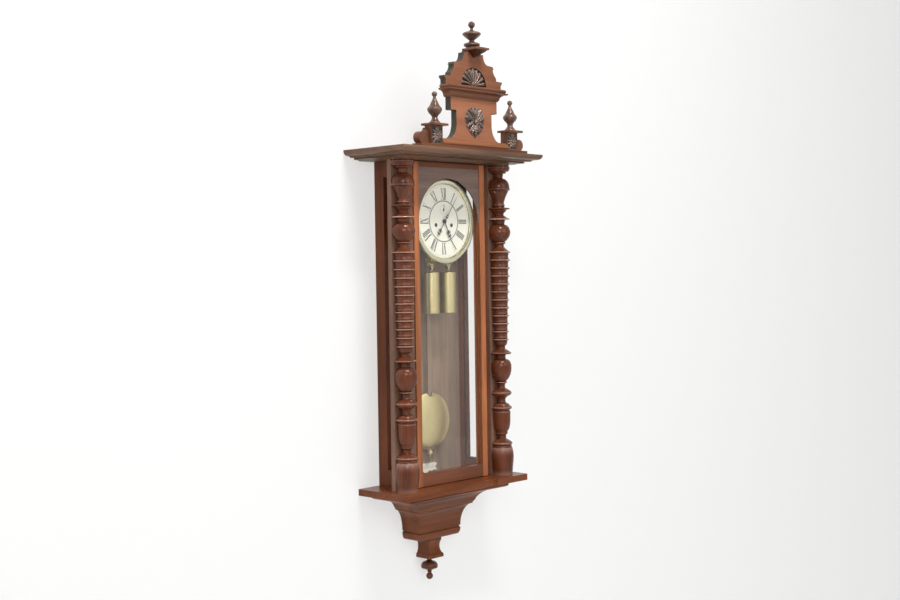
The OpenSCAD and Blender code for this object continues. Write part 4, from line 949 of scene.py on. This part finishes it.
class Print:
    """Collects thin printed shapes on the dial face."""

    def __init__(self, out):
        self.bm = bmesh.new()
        self.out = out

    def shape(self, points):
        front = [self.bm.verts.new(row(x, self.out + INK_THICK, z)) for x, z in points]
        back = [self.bm.verts.new(row(x, self.out, z)) for x, z in points]
        self.bm.faces.new(front)
        self.bm.faces.new(back[::-1])
        for i in range(len(points)):
            j = (i + 1) % len(points)
            self.bm.faces.new([front[j], front[i], back[i], back[j]])

    def ring(self, cz, low, high, steps=180):
        for i in range(steps):
            a0, a1 = 2 * pi * i / steps, 2 * pi * (i + 1) / steps
            self.shape([(r * sin(a), cz + r * cos(a))
                        for r, a in ((low, a0), (high, a0), (high, a1), (low, a1))])

    def mark(self, cz, angle, low, high, half):
        s, c = sin(angle), cos(angle)
        self.shape([(r * s + w * c, cz + r * c - w * s)
                    for r, w in ((low, -half), (high, -half), (high, half), (low, half))])

    def sixty(self, cz, high, fifth, other):
        """Marks all round; every fifth and the others each have an inner radius and a half width."""
        for i in range(60):
            low, half = other if i % 5 else fifth
            self.mark(cz, radians(6 * i), low, high, half)

    def numeral(self, text, angle, low, high):
        tall = high - low
        thick, thin, serif = 2.5, 0.75, 0.35
        parts = [strokes(letter, tall, thick, thin) for letter in text]
        total = sum(width for _, width in parts)
        s, c = sin(angle), cos(angle)
        at = -total / 2

        def put(points):
            self.shape([((low + v) * s + u * c, (low + v) * c - u * s) for u, v in points])

        for quads, width in parts:
            middle = at + width / 2
            for quad in quads:
                put([(u + middle, v) for u, v in quad])
            at += width
        for v in (0, tall):
            put([(-total / 2 - 0.4, v - serif), (total / 2 + 0.4, v - serif),
                 (total / 2 + 0.4, v + serif), (-total / 2 - 0.4, v + serif)])

    def done(self, name, material):
        from_bmesh(name, self.bm, "dial", material, 30)


# Stage

# Lamps: place, target, width, height and watts
LAMPS = {
    "window": ((-0.4, -1.7, 2.2), (0, 0, -0.25), 1.2, 0.25, 60),
    "key": ((0.4, -2.8, 0.6), (0, 0, -0.25), 1.6, 1.6, 16),
    "fill": ((-1.9, -2.3, 0.5), (0, 0, -0.3), 1.2, 1.2, 24),
}
# World: brightness low down, what is added towards the top, and how much stronger reflections are
WORLD_LOW, WORLD_RISE, WORLD_SHEEN = 0.16, 0.26, 0.75
# Glow of wall and floor where they are seen or reflected, and through glass
GLOW_SEEN, GLOW_GLAZED = 0.55, 0.85
STAGE_HALF = 6
FLOOR_Z = -1.7
WALL_TOP = 3
WALL_Y = 0.0006


def add_camera(s):
    data = bpy.data.cameras.new("Camera")
    data.lens = s.lens
    data.sensor_width = 36
    data.clip_start = 0.05
    a, e, turn = s.azimuth, s.tilt, s.roll
    ahead = Vector((sin(a) * cos(e), cos(a) * cos(e), sin(e)))
    right = Vector((cos(a), -sin(a), 0))
    up = right.cross(ahead)
    x_axis = cos(turn) * right + sin(turn) * up
    y_axis = -sin(turn) * right + cos(turn) * up
    facing = Matrix((x_axis, y_axis, -ahead)).transposed().to_4x4()
    camera = placed("Camera", data)
    camera.matrix_world = Matrix.Translation(Vector(s.place)) @ facing
    bpy.context.scene.camera = camera


def add_world():
    """White for the camera and behind glass, and elsewhere a dim light that grows towards the top."""
    world = bpy.data.worlds.new("Studio")
    bpy.context.scene.world = world
    world.use_nodes = True
    tree = world.node_tree
    rays = add(tree, "LightPath").outputs
    seen = larger(tree, rays["Is Camera Ray"], rays["Is Transmission Ray"])
    upper = ramp(tree, parts_of(tree, coordinate(tree, "Generated"))["Z"], -0.4, 0.6)
    soft = plus(tree, WORLD_LOW, times(tree, upper, WORLD_RISE))
    soft = plus(tree, soft, times(tree, rays["Is Glossy Ray"], times(tree, soft, WORLD_SHEEN)))
    white = times(tree, seen, minus(tree, 1.0, soft))
    join(tree, tree.nodes["Background"], Color=(1, 1, 1), Strength=plus(tree, soft, white))


def add_surface(name, corners, tint):
    """Painted sheet that glows a little where it is seen, and is clear from behind."""
    mesh = bpy.data.meshes.new(name)
    mesh.from_pydata(corners, [], [(0, 1, 2, 3)])
    placed(name, mesh)
    material, tree, shader, vector = blank(name + " paint")
    wear = use_group(tree, "wear", Vector=vector, Color=tint, Tarnish_color=tuple(c * 0.985 for c in tint),
                     Amount=0.4, Base_roughness=0.85, Hairline_scale=0.0)
    join(tree, shader, Base_Color=wear.outputs["Color"], Roughness=wear.outputs["Roughness"])
    rays = add(tree, "LightPath").outputs
    direct = larger(tree, rays["Is Camera Ray"], rays["Is Glossy Ray"])
    glazed = times(tree, rays["Is Transmission Ray"], GLOW_GLAZED)
    seen = larger(tree, times(tree, direct, GLOW_SEEN), glazed)
    glow = add(tree, "Emission", Color=tuple(min(1.0, c * 1.1) for c in tint))
    lit = mix_shader(tree, seen, shader.outputs[0], glow.outputs[0])
    behind = add(tree, "NewGeometry").outputs["Backfacing"]
    show(tree, mix_shader(tree, behind, lit, add(tree, "BsdfTransparent").outputs[0]))
    mesh.materials.append(material)


def add_lamp(name, place, target, wide, tall, power):
    data = bpy.data.lights.new(name, "AREA")
    data.shape = "RECTANGLE"
    data.size = wide
    data.size_y = tall
    data.energy = power
    made = placed(name, data)
    made.location = place
    made.rotation_euler = (Vector(target) - Vector(place)).to_track_quat("-Z", "Y").to_euler()


# Operators

class CLOCK_OT_case(bpy.types.Operator):
    """Boards, glazed sides and back of the case"""
    bl_idname = "clock.case"
    bl_label = "Case"
    bl_options = {"REGISTER", "UNDO"}

    def execute(self, context):
        for node in ("left_side_frame", "right_side_frame"):
            eased(node, "Cabinet wood")
        eased("front_boards", "Stile wood")
        eased("cornice", "Cornice wood", 0.0005, along="x")
        eased("base_shelf", "Cabinet wood", 0.0012, along="x")
        eased("base_corbel", "Cabinet wood", 0.0006, along="x")
        eased("base_block", "Cabinet wood", 0.0005)
        eased("back_board", "Inside wood")
        eased("case_floor", "Inside wood", along="x")
        eased("side_panes", "Pane glass", 0.0003)
        return {"FINISHED"}


class CLOCK_OT_turnings(bpy.types.Operator):
    """Columns, finials and the drop, turned smooth on the lathe"""
    bl_idname = "clock.turnings"
    bl_label = "Turnings"
    bl_options = {"REGISTER", "UNDO"}

    def execute(self, context):
        for side, name in SIDES:
            node = name + "_column"
            low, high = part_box(node)
            turning(node, node + "_turned", (side * COLUMN_AXIS[0], COLUMN_AXIS[1]), "Turned wood",
                    cut=COLUMN_BACK)
            left, right = sorted((side * BOARD_OUTSIDE, side * BOARD_INSIDE[name]))
            plank(node + "_board", (left, BOARD_FRONT, low[2]), (right, COLUMN_BACK, high[2]),
                  node, "Post wood")
        turning("crest_finial", "crest_finial_turned", CREST_FINIAL_AXIS, "Finial wood")
        turning("drop_finial", "drop_finial_turned", DROP_AXIS, "Turned wood")
        for side, name in SIDES:
            turning("corner_finials", "corner_finial_" + name,
                    (side * CORNER_FINIAL_AXIS[0], CORNER_FINIAL_AXIS[1]), "Finial wood", side)
        return {"FINISHED"}


class CLOCK_OT_crest(bpy.types.Operator):
    """Crest boards, mouldings and carved ornaments"""
    bl_idname = "clock.crest"
    bl_label = "Crest"
    bl_options = {"REGISTER", "UNDO"}

    def execute(self, context):
        eased("crest_board", "Crest wood", 0.0008, along="x")
        eased("crest_head", "Crest head wood", 0.0008, along="x")
        eased("crest_moulding", "Crest trim wood", 0.0004, along="x")
        eased("crest_base", "Crest bead wood", 0.0004, along="x")
        eased("crest_cap", "Crest cap wood", 0.0005, along="x")
        eased("corner_plinths", "Crest trim wood", 0.0005)
        relief("leaf_cartouche", (72, 78), (0, LEAF_Z), CREST_FRONT, cartouche_height,
               floor=0.4, cell=0.5, replaces=["leaf_carving"])
        relief("shell_fan", (86, 46), (0, FAN_Z + 21), CREST_FRONT - 6, fan_height,
               floor=0.4, cell=0.5, replaces=["shell_carving"])
        for side, name in SIDES:
            relief("corner_panel_" + name, (33.2, 38.2), (side * PANEL_X, PANEL_Z), CREST_FRONT + 2.5,
                   panel_height(side * PANEL_X), floor=0.1, cell=0.45)
        return {"FINISHED"}


class CLOCK_OT_door(bpy.types.Operator):
    """Door frame, arched spandrel, pane and hinges"""
    bl_idname = "clock.door"
    bl_label = "Door"
    bl_options = {"REGISTER", "UNDO"}

    def execute(self, context):
        eased("door_frame", "Door wood")
        eased("door_spandrel", "Arch wood", 0.0008, along="x")
        for side, name in SIDES:
            # Door beads whose amber is a painted highlight along the sight opening
            upright_bead("door_bead_" + name, side * (SIGHT_HALF + 2.5), SIGHT_LOW, SIGHT_HIGH,
                         DOOR_FRONT - BEAD_SUNK, BEAD_RADIUS, "door_frame", "Amber bead wood")
        stud("door_stud", *STUD, DOOR_FRONT, STUD_RADIUS, "door_hinges", "Dark brass")
        eased("door_glass", "Pane glass", 0.0003)
        for node in ("door_hinges", "case_hinges"):
            eased(node, "Brass", 0.0002)
        return {"FINISHED"}


class CLOCK_OT_dial(bpy.types.Operator):
    """Enamel dial with its numerals, circles, bezel and winding eyelets"""
    bl_idname = "clock.dial"
    bl_label = "Dial"
    bl_options = {"REGISTER", "UNDO"}

    def execute(self, context):
        s = settings("dial")
        low, high, track_low, track_high, ring_low, ring_high = (size / MM for size in (
            s.numeral_low, s.numeral_high, s.track_low, s.track_high, s.ring_low, s.ring_high))
        paint(["dial"], "Enamel")
        printed = Print(DIAL_FACE)
        for i, text in enumerate(NUMERALS):
            printed.numeral(text, radians(30 * i), low, high)
        printed.done("dial_print", "Fired ink")
        pale = Print(DIAL_FACE)
        pale.ring(0, ring_low, ring_high)
        for r in (track_low, track_high):
            pale.ring(0, r, r + 0.22)
        pale.sixty(0, track_high, (track_low, 0.4), (track_low, 0.14))
        pale.done("chapter_print", "Pale fired ink")
        small = Print(DIAL_FACE - 0.4)
        small.ring(SECONDS_Z, SECONDS_RADIUS, SECONDS_RADIUS + 0.25, 96)
        small.sixty(SECONDS_Z, SECONDS_RADIUS, (9.6, 0.16), (10.4, 0.08))
        small.done("seconds_print", "Pale fired ink")
        eased("bezel", "Bezel brass", 0.0003, 20)
        for side, name in SIDES:
            eyelet("winding_eyelet_" + name, side * WINDING_X, WINDING_Z)
        for node in ("minute_hand", "hour_hand", "seconds_hand"):
            eased(node, "Hand steel", 0.00012)
        return {"FINISHED"}


class CLOCK_OT_movement(bpy.types.Operator):
    """Plates, wheels and brackets behind the dial"""
    bl_idname = "clock.movement"
    bl_label = "Movement"
    bl_options = {"REGISTER", "UNDO"}

    def execute(self, context):
        paint(("movement_plates", "centre_wheel", "hour_wheel", "minute_wheel", "third_wheel", "escape_wheel",
               "going_great_wheel", "strike_great_wheel", "pin_wheel", "fly", "suspension_bracket",
               "wall_hanger"), "Brass")
        # Painted shade: the drums behind the winding holes are tinted nearly black
        paint(("going_drum", "strike_drum"), "Dark brass")
        paint(("anchor", "movement_bracket"), "Steel")
        return {"FINISHED"}


class CLOCK_OT_pendulum(bpy.types.Operator):
    """Pendulum with its wooden rod, brass bob and beat scale"""
    bl_idname = "clock.pendulum"
    bl_label = "Pendulum"
    bl_options = {"REGISTER", "UNDO"}

    def execute(self, context):
        eased("pendulum_rod", "Inside wood", 0.0008)
        eased("pendulum_bob", "Bob brass", 0.0002, 20)
        eased("beat_scale", "Enamel", 0.0002)
        ticks = Print(BEAT_FACE)
        for i in range(-8, 9):
            low, half = (679, 0.2) if i % 4 else (677, 0.35)
            ticks.mark(PIVOT_Z, pi + radians(i * BEAT_STEP), low, 684, half)
        ticks.done("beat_ticks", "Fired ink")
        return {"FINISHED"}


class CLOCK_OT_weights(bpy.types.Operator):
    """Weights, pulleys and gut lines"""
    bl_idname = "clock.weights"
    bl_label = "Weights"
    bl_options = {"REGISTER", "UNDO"}

    def execute(self, context):
        for train in ("going", "strike"):
            eased(train + "_weight", "Weight brass", 0.0002, 24)
            eased(train + "_pulley", "Brass", 0.0001, 24)
            paint([train + "_loop"], "Gut line")
            stretching_line(train + "_line")
        return {"FINISHED"}


class CLOCK_OT_stage(bpy.types.Operator):
    """Wall, floor, lamps, world and camera"""
    bl_idname = "clock.stage"
    bl_label = "Stage"
    bl_options = {"REGISTER", "UNDO"}

    def execute(self, context):
        s = settings("stage")
        context.scene.view_settings.view_transform = "Standard"
        add_camera(s)
        add_world()
        left, right = -STAGE_HALF, STAGE_HALF
        foot = [(right, WALL_Y, FLOOR_Z), (left, WALL_Y, FLOOR_Z)]
        add_surface("wall", foot[::-1] + [(right, WALL_Y, WALL_TOP), (left, WALL_Y, WALL_TOP)], s.wall)
        add_surface("floor", [(left, left, FLOOR_Z), (right, left, FLOOR_Z)] + foot, s.floor)
        for name, values in LAMPS.items():
            add_lamp(name, *values)
        return {"FINISHED"}


OPERATORS = (CLOCK_OT_case, CLOCK_OT_turnings, CLOCK_OT_crest, CLOCK_OT_door, CLOCK_OT_dial,
             CLOCK_OT_movement, CLOCK_OT_pendulum, CLOCK_OT_weights, CLOCK_OT_stage)
SETTINGS = {"wood": ClockWood, "metal": ClockMetal, "dial": ClockDial, "stage": ClockStage}


class CLOCK_PT_panel(bpy.types.Panel):
    """Lists the clock's settings and its operators"""
    bl_idname = "CLOCK_PT_panel"
    bl_label = "Regulator Clock"
    bl_space_type = "VIEW_3D"
    bl_region_type = "UI"
    bl_category = "Clock"

    def draw(self, context):
        for kind, group_class in SETTINGS.items():
            box = self.layout.box()
            for key in group_class.__annotations__:
                box.prop(settings(kind), key)
        for operator in OPERATORS:
            self.layout.operator(operator.bl_idname)


def register():
    for kind, group_class in SETTINGS.items():
        bpy.utils.register_class(group_class)
        setattr(bpy.types.Scene, "clock_" + kind, bpy.props.PointerProperty(type=group_class))
    for operator in OPERATORS:
        bpy.utils.register_class(operator)
    bpy.utils.register_class(CLOCK_PT_panel)


def unregister():
    bpy.utils.unregister_class(CLOCK_PT_panel)
    for operator in reversed(OPERATORS):
        bpy.utils.unregister_class(operator)
    for kind, group_class in SETTINGS.items():
        delattr(bpy.types.Scene, "clock_" + kind)
        bpy.utils.unregister_class(group_class)


def main():
    register()
    for operator in OPERATORS:
        space, name = operator.bl_idname.split(".")
        getattr(getattr(bpy.ops, space), name)()


if __name__ == "__main__":
    main()
